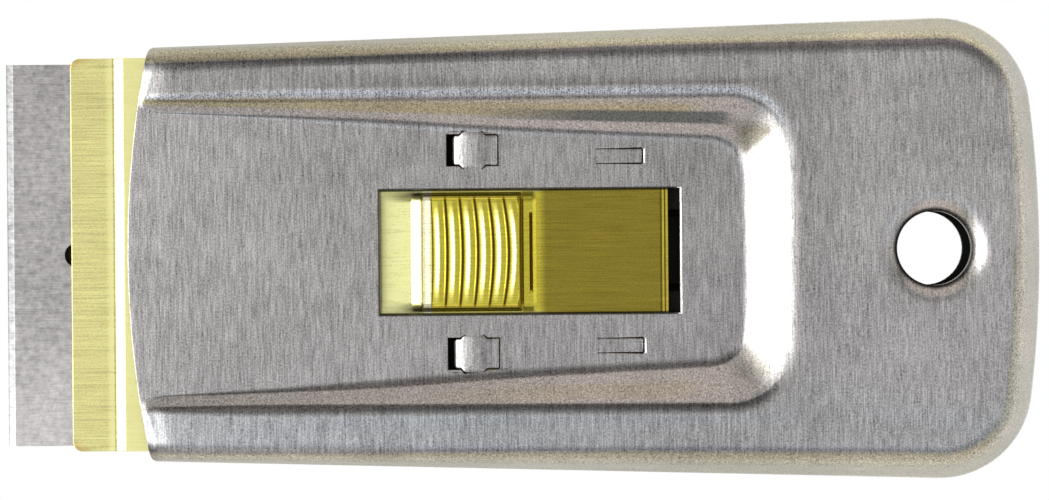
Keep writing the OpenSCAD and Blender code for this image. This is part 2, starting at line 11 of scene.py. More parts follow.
import bmesh
import bpy
import numpy as np
from mathutils import Matrix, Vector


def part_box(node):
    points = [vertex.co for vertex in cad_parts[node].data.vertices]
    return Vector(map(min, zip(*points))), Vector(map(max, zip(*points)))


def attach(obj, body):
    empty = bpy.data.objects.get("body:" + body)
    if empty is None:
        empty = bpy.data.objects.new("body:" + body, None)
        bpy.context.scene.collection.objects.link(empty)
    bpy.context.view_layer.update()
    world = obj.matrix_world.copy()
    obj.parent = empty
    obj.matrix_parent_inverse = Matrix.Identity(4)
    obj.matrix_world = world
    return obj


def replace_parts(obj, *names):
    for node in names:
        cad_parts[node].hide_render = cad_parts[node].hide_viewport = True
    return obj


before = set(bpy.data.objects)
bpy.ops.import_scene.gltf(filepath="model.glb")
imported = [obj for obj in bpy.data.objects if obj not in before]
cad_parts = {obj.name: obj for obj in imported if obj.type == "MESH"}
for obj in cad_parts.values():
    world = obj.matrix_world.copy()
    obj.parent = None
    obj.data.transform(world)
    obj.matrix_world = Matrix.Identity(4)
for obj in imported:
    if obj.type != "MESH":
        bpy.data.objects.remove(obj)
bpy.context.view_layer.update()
MM = 0.001
TO_METRES = Matrix.Scale(MM, 4)
shell_lo, shell_hi = (np.array(corner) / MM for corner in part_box("top_shell"))
X_FRONT, X_REAR = float(shell_lo[0]), float(shell_hi[0])
X_LIP = float(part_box("blade_slide")[0][0]) / MM
X_EDGE = float(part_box("razor_blade")[0][0]) / MM

# %% [markdown]
# ## The camera
# The object was seen from straight above, a little turned. A long lens a quarter of a metre away gives the
# same slight spread: the raised rear end looks a few tenths of a millimetre wider than the drawing.

# %% The camera
def placed(name, data):
    made = bpy.data.objects.new(name, data)
    bpy.context.scene.collection.objects.link(made)
    return made


IMAGE_W = 1049
PIXELS_PER_MM = 10.0
SENSOR_W = 36.0
VIEW_X, VIEW_Y, VIEW_PLANE_Z = -0.05, 0.144, 2.0
VIEW_DISTANCE = 250.0
TURN_DEG = -0.479
view_cam = bpy.data.cameras.new("view_from_above")
view_cam.sensor_width = SENSOR_W
view_cam.lens = SENSOR_W * VIEW_DISTANCE / (IMAGE_W / PIXELS_PER_MM)
view_cam.clip_start = 0.01
camera = placed("view_from_above", view_cam)
camera.location = (VIEW_X * MM, VIEW_Y * MM, (VIEW_PLANE_Z + VIEW_DISTANCE) * MM)
camera.rotation_euler = (0, 0, math.radians(TURN_DEG))
bpy.context.scene.camera = camera
print("lens", round(view_cam.lens, 1), "mm")

# %% [markdown]
# ## Node maths as Python
# Finishes are sums and products of a few patterns. One small class wraps a socket so that such a sum can be
# written as Python, and every operator adds the Math node that it stands for. Geometry Nodes use the same
# Math node, so the class serves both.

# %% A socket that can be calculated with
class Wire:
    def __init__(self, tree, socket=None):
        self.tree, self.socket = tree, socket

    def node(self, kind, inputs=None, out=0, **settings):
        made = self.tree.nodes.new(kind)
        for name, value in settings.items():
            setattr(made, name, value)
        for name, value in (inputs or {}).items():
            if isinstance(value, Wire):
                self.tree.links.new(value.socket, made.inputs[name])
            else:
                made.inputs[name].default_value = value
        return Wire(self.tree, made.outputs[out])

    def math(self, operation, *values):
        return self.node("ShaderNodeMath", dict(enumerate(values)), operation=operation)

    def __add__(self, other):
        return self.math("ADD", self, other)

    def __sub__(self, other):
        return self.math("SUBTRACT", self, other)

    def __rsub__(self, other):
        return self.math("SUBTRACT", other, self)

    def __mul__(self, other):
        return self.math("MULTIPLY", self, other)

    def __truediv__(self, other):
        return self.math("DIVIDE", self, other)

    def __pow__(self, other):
        return self.math("POWER", self, other)

    __radd__, __rmul__ = __add__, __mul__

    def abs(self):
        return self.math("ABSOLUTE", self)

    def larger(self, other):
        return self.math("MAXIMUM", self, other)

    def clamped(self):
        return self.math("MINIMUM", self.larger(0.0), 1.0)

    def rise(self, low, high):
        """A soft step from 0 at low to 1 at high."""
        ends = {0: self, 1: low, 2: high}
        return self.node("ShaderNodeMapRange", ends, interpolation_type="SMOOTHSTEP")

    def fall(self, low, high):
        return 1.0 - self.rise(low, high)

    def between(self, low, on, off, high):
        """1 from on to off, with soft ends at low and high."""
        return self.rise(low, on) * self.fall(off, high)

    def mark(self, name):
        """A value that the mesh carries."""
        return self.node("ShaderNodeAttribute", out="Fac", attribute_name=name)

    def split(self):
        made = self.node("ShaderNodeSeparateXYZ", {0: self}).socket.node
        return [Wire(self.tree, socket) for socket in made.outputs]

    def join(self, x, y, z):
        return self.node("ShaderNodeCombineXYZ", {0: x, 1: y, 2: z})

    def noise(self, x, y, z, detail=2.0, rough=0.5):
        inputs = {"Vector": self.join(x, y, z), "Scale": 1.0, "Detail": detail, "Roughness": rough}
        return self.node("ShaderNodeTexNoise", inputs)

    def mixed(self, first, second):
        """This value blends two colours."""
        ends = [(*end, 1.0) if isinstance(end, tuple) else end for end in (first, second)]
        return self.node("ShaderNodeMix", {0: self, 6: ends[0], 7: ends[1]}, 2, data_type="RGBA")

    def tinted(self, amount):
        """This colour times a number."""
        grey = self.join(amount, amount, amount)
        return self.node("ShaderNodeVectorMath", {0: self, 1: grey}, operation="MULTIPLY")


def new_finish(name, colour, rough, metal):
    """A material with a plain start, and the wire, coordinates in mm and shader to build on."""
    finish = bpy.data.materials.new(name)
    finish.use_nodes = True
    finish.diffuse_color = (*colour, 1.0)
    shader = finish.node_tree.nodes["Principled BSDF"]
    shader.inputs["Base Color"].default_value = (*colour, 1.0)
    shader.inputs["Roughness"].default_value = rough
    shader.inputs["Metallic"].default_value = metal
    wire = Wire(finish.node_tree)
    place = wire.node("ShaderNodeTexCoord", out="Object")
    x, y, z = (axis * (1.0 / MM) for axis in place.split())
    return finish, shader, wire, x, y, z


def feed(shader, **links):
    for name, wire in links.items():
        place = shader.inputs[name.replace("_", " ").title()]
        wire.tree.links.new(wire.socket, place)


def bumped(wire, height, strength, depth_mm):
    inputs = {"Strength": strength, "Distance": depth_mm * MM, "Height": height}
    return wire.node("ShaderNodeBump", inputs)


# %% [markdown]
# ## Brushed body steel
# The sheet was brushed across the body before it was pressed, so fine lines run along Y on every flat.
# Where the press stretched it, on the flanges and the walls of the sunk panel, the lines are rubbed out and
# the metal is grainier; these faces are also made warmer and olive. Dark lines at the bends, at the foot and
# brow of the walls, round the window and in the hang hole are painted shade, as are a dark patch in the
# recess corners and a few darker zones, while a few lighter zones are painted light. A bluish lower band, a
# glint, a slate stripe and a gold tint on the walls are painted reflections. A painted mask could say where
# all that is, but it would slip when a size changes. So the mesh carries the distances to its bends as
# attributes, and the finish follows the shape.

# %% Body steel: patterns
X_WINDOW, WINDOW_LEN, WINDOW_W = X_FRONT + 25.0, 29.8, 12.4
body_steel, shader, w, x, y, z = new_finish("body_steel", (0.58, 0.57, 0.56), 0.36, 1.0)
flange, bend, wall, toe, brow, side, collar = map(
    w.mark, ("flange", "bend", "wall", "toe", "brow", "side", "collar"))
brush = w.noise(x * 3.0, y * 0.10, z * 0.3, 3.0, 0.7) - 0.5
fine = w.noise(x * 9.0, y * 0.45, z * 0.7, 2.0, 0.6) - 0.5
cloud = w.noise(x * 0.10, y * 0.16, z * 0.2, 3.0, 0.6) - 0.5
grain = w.noise(x * 6.0, y * 6.0, z * 6.0, 2.0, 0.7) - 0.5
pits = w.noise(x * 2.2 + 31.0, y * 1.1, z * 1.1, 1.0, 0.4).rise(0.74, 0.80)
lines = brush * 0.55 + fine * 1.5
print("patterns:", len(body_steel.node_tree.nodes), "nodes")

# %% Body steel: bends and painted crease shade
upper = y.rise(-0.5, 0.5)
lower = 1.0 - upper
before = x.fall(-14.0, 6.0)
drawn = wall.between(0.14, 0.22, 0.70, 0.80) * side
back = x - X_FRONT
toe = toe / (0.15 + back.rise(0.0, 30.0) * 0.85)
brow = brow / (0.6 + back.rise(0.0, 15.0) * 0.4)
# Painted shade: dark lines at the foot (toe) and the brow of the recess walls.
toe_lower = toe.between(0.0, 0.95, 1.0, 1.3) * lower * side
toe_upper = toe.between(0.35, 0.7, 0.8, 1.1) * upper * side
brow_lower = brow.between(0.0, 1.15, 1.25, 1.5) * lower * side
brow_upper = brow.between(0.95, 1.15, 1.3, 1.5) * upper * side
turn = bend - upper * (0.10 + x.rise(-40.0, 20.0) * 0.26)
turn = turn - lower * (0.36 - x.rise(-25.0, 15.0) * 0.20)
# Painted shade: dark lines along the bends of the upper and lower flanges.
bend_upper = turn.between(-0.50, 0.0, 0.02, 0.10) * upper
bend_lower = turn.between(-0.14, 0.0, 0.02, 0.10) * lower
flange = flange.larger(turn.rise(0.02, 0.11))
# These dark lines and the hang hole's collar together make the painted crease shade.
crease_shade = toe_lower * 0.62 + toe_upper * 0.5 + brow_lower * 0.7 + brow_upper * 0.4
crease_shade = crease_shade * back.rise(0.5, 4.0) + (bend_upper * 0.62 + bend_lower * 0.35) * (0.05 + side * 0.95)
crease_shade = crease_shade + collar * 0.85
window_end = X_WINDOW + WINDOW_LEN
# Painted shade: a dark line round the window's edges, except the rear one.
beside = ((x - X_WINDOW - WINDOW_LEN / 2).abs() - WINDOW_LEN / 2).larger(y.abs() - WINDOW_W / 2)
sheared = beside.fall(0.08, 0.2) * x.fall(window_end - 0.25, window_end - 0.1)
crease_shade = crease_shade + sheared * 0.8
hem = bend.rise(1.2, 1.6)
glint = brow.between(0.0, 0.5, 0.8, 1.0) * upper * side
glint = glint + toe.between(0.02, 0.15, 0.2, 0.45) * upper * side * before * 0.5
# Painted reflections on the recess walls: a dark slate stripe on the upper wall and a gold tint, weaker on
# the lower wall.
dark_stripe_reflection = wall.between(0.31, 0.36, 0.51, 0.57) * upper * x.between(-8.0, 8.0, 19.0, 21.5)
gold_tint_reflection = wall.between(0.34, 0.44, 0.60, 0.75)
gold_tint_reflection = gold_tint_reflection * (lower * x.rise(-16.0, 4.0) * 0.4 + upper * 0.9) * x.fall(15.0, 19.0)
stretched = flange + drawn
print("with bends:", len(body_steel.node_tree.nodes), "nodes")

# %% Body steel: tones, painted light and shade
speckle = grain * (1.9 + stretched * 0.8 + crease_shade * 1.5 + glint * 2.0)
level = 1.0 + lines * (1.1 - stretched * 0.8) + cloud * 0.5 + speckle
# Painted light on the raised bands, painted shade on the flanges except on the upper side.
level = level * (1.0 + wall.rise(0.92, 1.0) * 0.04) * (1.0 - flange * (0.15 - side * upper * 0.15))
# Painted shade on the lower front corner of the band, the nose.
nose = back.fall(1.5, 3.5) * y.abs().rise(14.5, 15.5) * lower
level = level * (1.0 - nose * 0.4)
level = level * (1.0 - pits * 0.35) * (1.0 - crease_shade) * (1.0 + glint * 0.15)
# Painted light next to the bends and on the rear deck, painted shade on the front half of the upper band.
level = level * (1.0 + turn.rise(0.02, 0.2) * bend.fall(0.5, 1.0) * 0.3)
level = level * (0.95 + x.rise(28.0, 34.0) * 0.13)
level = level * (1.0 - y.rise(15.5, 16.5) * x.fall(-16.0, 2.0) * 0.18)
plain, sky_reflection_blue, sky_blue = (0.60, 0.578, 0.573), (0.572, 0.585, 0.60), (0.60, 0.63, 0.68)
olive, corner_shade_olive, rim = (0.43, 0.395, 0.275), (0.42, 0.37, 0.24), (0.62, 0.60, 0.52)
warm, reflection_gold, stripe_reflection_slate = (0.595, 0.555, 0.535), (0.55, 0.47, 0.25), (0.16, 0.18, 0.185)
# Painted reflection: the lower band is tinted bluish, more towards the front.
bare = (lower * y.abs().rise(14.8, 16.5) * (0.8 - x.rise(-10.0, 25.0) * 0.5)).mixed(plain, sky_reflection_blue)
bent = (flange * (0.55 + side * (0.4 - lower * 0.2))).mixed(bare, hem.mixed(olive, rim))
colour = (glint * 0.6).mixed(drawn.mixed(bent, warm), sky_blue)
# Painted shade: a dark olive patch in the rear corners of the recess walls, stronger on the upper side.
turned = side.rise(0.15, 0.45) * x.between(20.2, 22.2, 24.2, 25.2) * (0.4 + upper * 0.6)
turned = turned * wall.between(0.10, 0.24, 0.60, 0.78) * y.abs().fall(11.7, 13.2)
level = level * (1.0 - turned * 0.45)
colour = (turned * 0.6).mixed(colour, corner_shade_olive)
colour = (dark_stripe_reflection * 0.9).mixed((gold_tint_reflection * 0.75).mixed(colour, reflection_gold), stripe_reflection_slate)
height = lines + grain * (stretched + crease_shade + 0.3)
rough = 0.32 + lines * 0.08 + stretched * 0.06
feed(shader, base_color=colour.tinted(level), roughness=rough, normal=bumped(w, height, 0.2, 0.01))
print(body_steel.name, len(body_steel.node_tree.nodes), "nodes")

# %% [markdown]
# ## Closing plate
# The plate is plain rolled steel with a few stains. Its inside, shut in under the body, is painted nearly
# black as shade, which a second material could show, but one value on the faces that look inward is enough.

# %% Plate steel
plate_steel, shader, w, x, y, z = new_finish("plate_steel", (0.50, 0.49, 0.48), 0.42, 1.0)
roll = w.noise(x * 0.3, y * 5.0, z * 5.0, 3.0, 0.6)
cloud = w.noise(x * 0.2, y * 0.2, z * 0.2, 3.0, 0.6)
stain = w.noise(x * 0.5 + 9.0, y * 0.5, z * 0.5, 4.0, 0.7).rise(0.58, 0.75)
colour = (stain * 0.35).mixed((0.52, 0.51, 0.50), (0.36, 0.31, 0.25))
# Painted shade: the faces that look into the body are nearly black.
inside_shade = w.mark("inside")
colour = inside_shade.mixed(colour, (0.025, 0.026, 0.022))
rough = 0.32 + roll * 0.14 + stain * 0.18 + inside_shade * 0.2
feed(shader, base_color=colour.tinted(0.82 + roll * 0.2 + cloud * 0.16), roughness=rough,
     normal=bumped(w, roll, 0.2, 0.01))

# %% [markdown]
# ## Jaw
# The spring leaf under the blade is near black and rubbed paler in places. A rub across and a few
# scuffs show that better than a flat black.

# %% Jaw steel
jaw_steel, shader, w, x, y, z = new_finish("jaw_steel", (0.03, 0.03, 0.032), 0.5, 0.7)
rub = w.noise(x * 3.0, y * 0.5, z * 3.0, 3.0, 0.6)
scuff = w.noise(x * 0.9, y * 0.9, z * 0.9, 4.0, 0.7).rise(0.6, 0.78)
colour = (scuff * 0.4).mixed((0.020, 0.020, 0.022), (0.16, 0.15, 0.14))
feed(shader, base_color=colour.tinted(0.7 + rub * 0.6), roughness=0.42 + rub * 0.2)

# %% [markdown]
# ## Blade
# The blade is ground along X and mottled, with tea-coloured stains. The honed strip is a narrow step in the
# same finish, measured from the cutting edge, since the solid has its facet already.

# %% Blade steel
blade_steel, shader, w, x, y, z = new_finish("blade_steel", (0.60, 0.58, 0.57), 0.34, 1.0)
from_edge = x - X_EDGE
honed = from_edge.fall(0.55, 0.70)
ground = w.noise(x * 0.5, y * 9.0, z * 9.0, 3.0, 0.65)
mottle = w.noise(x * 1.6, y * 1.6, z * 1.6, 4.0, 0.7)
cloud = w.noise(x * 0.16, y * 0.07 + 4.0, z, 2.0, 0.5)
tea = w.noise(x * 1.1 + 17.0, y * 1.1, z * 1.1, 4.0, 0.75).rise(0.60, 0.74)
nick = w.noise(x * 3.0, y * 6.0, z * 6.0, 2.0, 0.5)
colour = (tea * 0.35 * (1.0 - honed)).mixed((0.63, 0.605, 0.595), (0.40, 0.32, 0.29))
colour = honed.mixed(colour, (0.46, 0.46, 0.46))
# The blade is paler towards -Y.
paler_side_and_crease_shade = y.fall(-17.0, -4.0)
level = 0.74 + (ground - 0.5) * 0.7 + (mottle - 0.5) + (cloud - 0.5) * 0.4 + paler_side_and_crease_shade * 0.3
level = level - honed * nick * 0.3
level = level * (0.6 + from_edge.rise(0.05, 0.16) * 0.4)
rough = 0.34 + mottle * 0.14 - honed * 0.12
feed(shader, base_color=colour.tinted(level), roughness=rough, normal=bumped(w, ground + mottle, 0.15, 0.008))

# %% [markdown]
# ## Spine
# The folded strip on the blade's back hides in the carrier, so a plain drawn steel will do.

# %% Spine steel
spine_steel, shader, w, x, y, z = new_finish("spine_steel", (0.38, 0.38, 0.38), 0.4, 1.0)
strip = w.noise(x * 5.0, y * 0.3, z * 5.0, 3.0, 0.6)
feed(shader, base_color=w.join(0.38, 0.38, 0.385).tinted(0.75 + strip * 0.5), roughness=0.34 + strip * 0.15)
print("plain sheets:", [m.name for m in (plate_steel, jaw_steel, blade_steel, spine_steel)])

# %% [markdown]
# ## Brass plating of the carrier
# The carrier is brushed lengthwise, so its lines run along X. In front of the button and on the crests of its
# ribs the plating is painted pale as light, behind the button it is painted olive as the button's shadow, and
# where it lies under the body beside the window it is painted dark as shade; the button itself is a deeper
# gold. A few bands at the lip's step and at the tail are painted light and shade. The zones are steps along X
# from the drawing's sizes, so no mask has to be painted.

# %% Carrier brass: patterns and zones
BUTTON_LEN, BUTTON_W, BUTTON_H = 12.3, 11.6, 2.0
SLIDE_T, SLIDE_TOP = 0.5, 2.98
X_STEP, X_TAIL = X_FRONT - 1.4, X_FRONT + 53.7
BUTTON_ROOM, TRAVEL_OUT = 1.15, 2.0
X_BUTTON = X_WINDOW + BUTTON_ROOM + TRAVEL_OUT
carrier_brass, shader, w, x, y, z = new_finish("carrier_brass", (0.78, 0.70, 0.26), 0.3, 1.0)
brush = w.noise(x * 0.18, y * 8.0, z * 4.0, 3.0, 0.65)
streak = w.noise(x * 0.05, y * 3.0 + 5.0, z * 2.0, 2.0, 0.6)
cloud = w.noise(x * 0.3, y * 0.3, z * 0.3, 3.0, 0.6)
speck = w.noise(x * 2.4 + 9.0, y * 2.4, z * 2.4, 2.0, 0.5).rise(0.76, 0.80)
at_step, at_button, at_tail = x - X_STEP, x - X_BUTTON, x - X_TAIL
# Painted shadow of the button: the brass behind it is olive, duller and rougher.
button_shadow = (at_button - BUTTON_LEN).rise(0.1, 1.2)
from_button_back = at_button.rise(-0.3, 0.2) * y.abs().fall(5.8, 6.2)
# Painted light: the brass in the window before the button is pale and fully metallic.
lit_before_button = x.rise(X_WINDOW - 1.0, X_WINDOW) * at_button.fall(0.9, 1.2)
valley, bright = map(w.mark, ("valley", "bright"))
# Painted shade: the brass under the body beside the window is nearly black.
under_body_shade = y.abs().rise(5.98, 6.12) * x.rise(X_FRONT + 6.0, X_FRONT + 9.0)
corner_stain = (y.abs() - 18.4 - (x - X_LIP) * 0.6).rise(-0.5, 0.9)
print("patterns and zones:", len(carrier_brass.node_tree.nodes), "nodes")

# %% Carrier brass: tones, painted light and shade
# The olive stands for the button's painted shadow, the two pale tones for painted light, the dark brown for
# painted shade in the button's creases and the last tone for painted shade under the body.
pale, golden, button_shadow_olive = (0.84, 0.78, 0.33), (0.92, 0.79, 0.09), (0.40, 0.315, 0.045)
rust = (0.62, 0.36, 0.08)
highlight_pale, lit_pale = (0.95, 0.93, 0.62), (0.97, 0.94, 0.42)
crease_shade_brown, under_body_shade_tone = (0.09, 0.035, 0.004), (0.03, 0.028, 0.015)
colour = button_shadow.mixed(from_button_back.mixed(pale, golden), button_shadow_olive)
colour = lit_before_button.mixed(bright.mixed(colour, highlight_pale), lit_pale)
colour = (valley * 0.95).mixed((corner_stain * 0.6).mixed(colour, rust), crease_shade_brown)
colour = (under_body_shade * 0.94).mixed(colour, under_body_shade_tone)
grain = w.noise(x * 5.0, y * 5.0, z * 5.0, 2.0, 0.6)
level = 1.05 + (brush - 0.5) + (grain - 0.5) * 0.6 + (streak - 0.5) * 0.2 + (cloud - 0.5) * 0.2
level = level * (1.0 - speck * 0.55)
# Painted light: a glow before the lip's step, a lit band behind it and a highlight on the tail's end. Painted
# shade: a line at the step's bend and on the facet before the tail.
bend_glow = at_step.between(-1.1, -0.3, -0.28, -0.2)
bend_line_shade = at_step.between(-0.22, -0.16, -0.1, -0.04)
lit_behind_step = at_step.between(0.9, 1.0, 3.0, 4.0)
tail_highlight = at_tail.rise(-0.3, -0.2)
facet_shade = at_tail.rise(-0.85, -0.75) * (1.0 - tail_highlight)
lights = bend_glow * 0.4 + lit_behind_step * 0.35 + tail_highlight * 1.2
level = level * (1.0 + lights - bend_line_shade * 0.2 - facet_shade * 0.5)
rough = 0.30 + (brush - 0.5) * 0.12 + button_shadow * 0.08 - from_button_back * 0.06
metal = 0.62 + button_shadow.larger(from_button_back).larger(lit_before_button) * 0.36
feed(shader, base_color=colour.tinted(level), roughness=rough, metallic=metal,
     normal=bumped(w, brush, 0.18, 0.01))
print(carrier_brass.name, len(carrier_brass.node_tree.nodes), "nodes")

# %% [markdown]
# ## The body's sheet
# The body is one drawn sheet, so it is built as one open surface and thickened afterwards. Every line of
# the press tool (rim, flange, bend, band, brow, wall, panel) is a ring that starts on the convex front edge,
# runs back along the side, turns the rear corner and returns. Rings with equal numbers of points can be
# skinned with quads.

# %% Sizes of the body, in millimetres
SHEET = 0.6
BODY_LEN = X_REAR - X_FRONT
FRONT_R, END_R, RECESS_END_R = 100.0, 120.0, 230.0
FOOT_FRONT, FOOT_REAR, FOOT_CORNER = 20.75, 23.45, 9.3
CROWN_FRONT, CROWN_REAR, CROWN_CORNER, REAR_RUN = 18.4, 19.4, 5.2, 4.7
RIM_R, RIM_W, BEND_R = 0.45, 2.0, 1.85
PANEL_Z = 3.98
BAND_STEP, NOSE_RISE, REAR_H, BAND_TILT = 0.06, 0.5, 7.6, 0.03
X_BAND = X_FRONT + 3.1
BAND_SLOPE = (REAR_H - PANEL_Z - BAND_STEP - NOSE_RISE) / (X_REAR - X_BAND)
RECESS_HALF, RECESS_LEN, RECESS_CORNER = 14.8, 66.1, 6.8
PANEL_LEN, PANEL_CORNER = 61.4, 3.6
WALL_RUN = 1.35
TOE_SIDE, TOE_REAR, BROW_SIDE, BROW_REAR = 0.95, 0.5, 1.5, 0.8
TOE_SHARE, BROW_SHARE, BROW_SHARE_REAR = 0.2, 0.3, 0.55
ROLL_R = 0.09
ROLL_TURN = np.linspace(0, math.pi / 2, 9)
NOSE_STEPS = [0.4, 0.6, 0.8, 1.0, 1.25, 1.5, 1.9, 2.4, 3.2]
FRONT_STEPS = np.concatenate([ROLL_R * (1 - np.cos(ROLL_TURN)), NOSE_STEPS])
CORNER_STEPS, END_STEPS, SIDE_STEPS = 24, 14, 34
PANEL_SEAMS = (-20.0, -11.0, 2.5, 13.5)


def front_x(y):
    return X_FRONT + FRONT_R - np.sqrt(FRONT_R**2 - y**2)


def soft(u):
    u = np.clip(u, 0.0, 1.0)
    return u * u * (3 - 2 * u)


def depth(x, y):
    """How far the panel lies below the bands: nothing at the front edge, then the nose, then the slope."""
    back = x - front_x(y)
    steep = 0.6 + 0.5 * np.clip((np.abs(y) - 15.0) / 4.0, 0, 1)
    nose = 0.5 * soft(back / steep) + 0.5 * soft(back / 2.7)
    return BAND_STEP + NOSE_RISE * nose + BAND_SLOPE * np.maximum(0, x - X_BAND)


def half_outline(front_half, rear_half, rear_x, corner_r, bulge_r, shift=None):
    """Front edge, straight side, round corner and bulged end; shift moves points of the side sideways."""
    taper = (rear_half - front_half) / BODY_LEN
    q = math.sqrt(1 + taper**2)
    bulge_x = rear_x - bulge_r
    b = front_half - taper * X_FRONT - corner_r * q
    half_b = taper * b - bulge_x
    c = bulge_x**2 + b**2 - (bulge_r - corner_r) ** 2
    cx = (math.sqrt(half_b**2 - q * q * c) - half_b) / (q * q)
    cy = b + taper * cx
    a1, a2 = math.pi / 2 + math.atan(taper), math.atan2(cy, cx - bulge_x)

    def line(px):
        return front_half + taper * (px - X_FRONT) + (shift(px) if shift else 0.0)

    x0 = X_FRONT
    for _ in range(30):
        x0 = float(front_x(line(x0)))
    run = cx + corner_r * math.cos(a1) - x0 - FRONT_STEPS[-1]
    xs = x0 + np.concatenate([FRONT_STEPS, FRONT_STEPS[-1] + run * np.linspace(0, 1, SIDE_STEPS)[1:-1]])
    side = np.stack([xs, line(xs)], 1)
    a = np.linspace(a1, a2, CORNER_STEPS + 1)
    corner = np.stack([cx + corner_r * np.cos(a), cy + corner_r * np.sin(a)], 1)
    e = np.linspace(a2, 0, END_STEPS + 1)[1:]
    end = np.stack([bulge_x + bulge_r * np.cos(e), bulge_r * np.sin(e)], 1)
    return np.concatenate([side, corner, end])


def foot(d):
    return half_outline(FOOT_FRONT - d, FOOT_REAR - d, X_REAR - d, FOOT_CORNER - d, END_R - d)


def pressed(u):
    """Height share across the recess wall: a hollow toe at the panel, an even slope, a round brow above."""
    share = BROW_SHARE_REAR + (BROW_SHARE - BROW_SHARE_REAR) * sideways
    k = 1 / (1 - TOE_SHARE / 2 - share / 2)
    toe, brow = k * u**2 / (2 * TOE_SHARE), 1 - k * (1 - u) ** 2 / (2 * share)
    return np.where(u < TOE_SHARE, toe, np.where(u > 1 - share, brow, k * (u - TOE_SHARE / 2)))


def eased(px, start, run):
    """The wall narrows to a point toward the front edge."""
    return start + (1 - start) * soft((px - X_FRONT) / run)


def toe_width(px):
    return TOE_SIDE * eased(px, 0.1, 42.0)


def brow_width(px):
    return BROW_SIDE * eased(px, 0.75, 15.0)


def at_z(plan, z):
    return np.column_stack([plan, np.broadcast_to(z, len(plan))])


def lengths(steps):
    return np.linalg.norm(steps, axis=1)


def pulled(a, b, c, u):
    return (1 - u) ** 2 * a + 2 * u * (1 - u) * b + u * u * c


# %% [markdown]
# ## Rings of the press tool
# From the curled rim up and in, each ring also notes how far it is from the bends. Those notes become the
# attributes that the finish reads.

# %% Rings
MARKS = ("flange", "bend", "wall", "toe", "brow", "side")
rings, marks = [], []


def add_ring(ring, flange=0.0, bend=0.0, wall=1.0, toe=9.0, brow=0.0):
    rings.append(ring)
    marks.append([np.broadcast_to(value, len(ring)) for value in (flange, bend, wall, toe, brow, sideways)])


def toe_shift(px):
    wall_foot = RECESS_HALF - toe_width(px) - WALL_RUN * depth(px, 14.4)
    return np.where(px < X_BAND, wall_foot - toe_half - slope * (X_FRONT - px), TOE_SIDE - toe_width(px))


slope = WALL_RUN * BAND_SLOPE
toe_half = RECESS_HALF - WALL_RUN * (BAND_STEP + NOSE_RISE) + slope * (X_BAND - X_FRONT) - TOE_SIDE
inner = half_outline(toe_half, toe_half - slope * BODY_LEN, X_FRONT + PANEL_LEN - TOE_REAR, PANEL_CORNER,
                     RECESS_END_R, toe_shift)
brow_half = RECESS_HALF + BROW_SIDE
outer = half_outline(brow_half, brow_half, X_FRONT + RECESS_LEN + BROW_REAR, RECESS_CORNER, RECESS_END_R,
                     lambda px: brow_width(px) - BROW_SIDE)
crown = half_outline(CROWN_FRONT, CROWN_REAR, X_REAR - REAR_RUN, CROWN_CORNER, END_R)
hem_in, hem_out = foot(RIM_R), foot(0.0)
out = hem_out - crown
sideways = soft((np.abs(out[:, 1]) / lengths(out) - 0.3) / 0.5)


def on_band(t):
    """A ring between the brow of the recess and the bend, on a band that falls a little to the outside."""
    plan = outer + (crown - outer) * t
    fall = BAND_TILT * np.minimum(lengths(plan - outer), 4.0) * sideways
    return at_z(plan, PANEL_Z + depth(plan[:, 0], plan[:, 1]) - fall)


band = on_band(1.0)
for d in (RIM_W, 1.2):
    add_ring(at_z(foot(d), 0.0), 1.0, 2.0)
for u in np.linspace(0, 1, 7):
    add_ring(pulled(at_z(hem_in, 0.0), at_z(hem_out, 0.0), at_z(hem_out, RIM_R), u), 1.0, 2.0)
low = at_z(hem_out, RIM_R)
bend_corner = band + at_z(out / lengths(out)[:, None] * BEND_R, 0.0)
fall = low - bend_corner
bend_start = bend_corner + fall / lengths(fall)[:, None] * BEND_R
for u in (0.06, 0.15, 0.4, 0.7, 0.92):
    add_ring(low + (bend_start - low) * u, 1.0, 2.0 - float(soft(u / 0.15)))
for u in np.linspace(1, 0, 20):
    add_ring(pulled(band, bend_corner, bend_start, u), float(soft((u - 0.38) / 0.09)), u)
for t in (0.95, 0.85, 0.7, 0.5, 0.35, 0.2, 0.1, 0.04):
    add_ring(on_band(t), 0.0, -lengths((crown - outer) * (1 - t)) / BEND_R)
for u in np.linspace(1, 0, 30):
    plan = inner + (outer - inner) * u
    ring = at_z(plan, PANEL_Z + depth(plan[:, 0], plan[:, 1]) * pressed(u))
    width = lengths(outer - inner)
    add_ring(ring, 0.0, -3.0, u, width * u, width * (1 - u))
print(len(rings), "rings of", len(rings[0]), "points on each side")


# %% [markdown]
# ## Skin and thickness
# Quads join the rings, a few rows follow the front edge, and the flat panel is left in five large faces with
# seams away from the openings, so that the cutters meet clean sheet. A Solidify modifier gives the thickness,
# and the outer skin is let down a little at the front, where shearing rolls the edge over.

# %% Mesh helpers
def mesh_object(name, points, faces, finish):
    mesh = bpy.data.meshes.new(name)
    mesh.from_pydata((np.asarray(points) * MM).tolist(), [], faces)
    mesh.materials.append(finish)
    return placed(name, mesh)


def quads(grid):
    """Faces between the neighbours in a grid of point numbers."""
    corners = (grid[:-1, :-1], grid[:-1, 1:], grid[1:, 1:], grid[1:, :-1])
    return np.stack(corners, -1).reshape(-1, 4).tolist()


@contextlib.contextmanager
def edited(mesh):
    """The mesh as a bmesh, written back afterwards."""
    bm = bmesh.new()
    bm.from_mesh(mesh)
    yield bm
    bm.to_mesh(mesh)
    bm.free()


def noted(piece, name, values, domain="POINT"):
    """Gives the mesh an attribute with these values."""
    piece.data.attributes.new(name, "FLOAT", domain).data.foreach_set("value", values)


def faced_out(piece):
    with edited(piece.data) as bm:
        bmesh.ops.recalc_face_normals(bm, faces=bm.faces)
    return piece


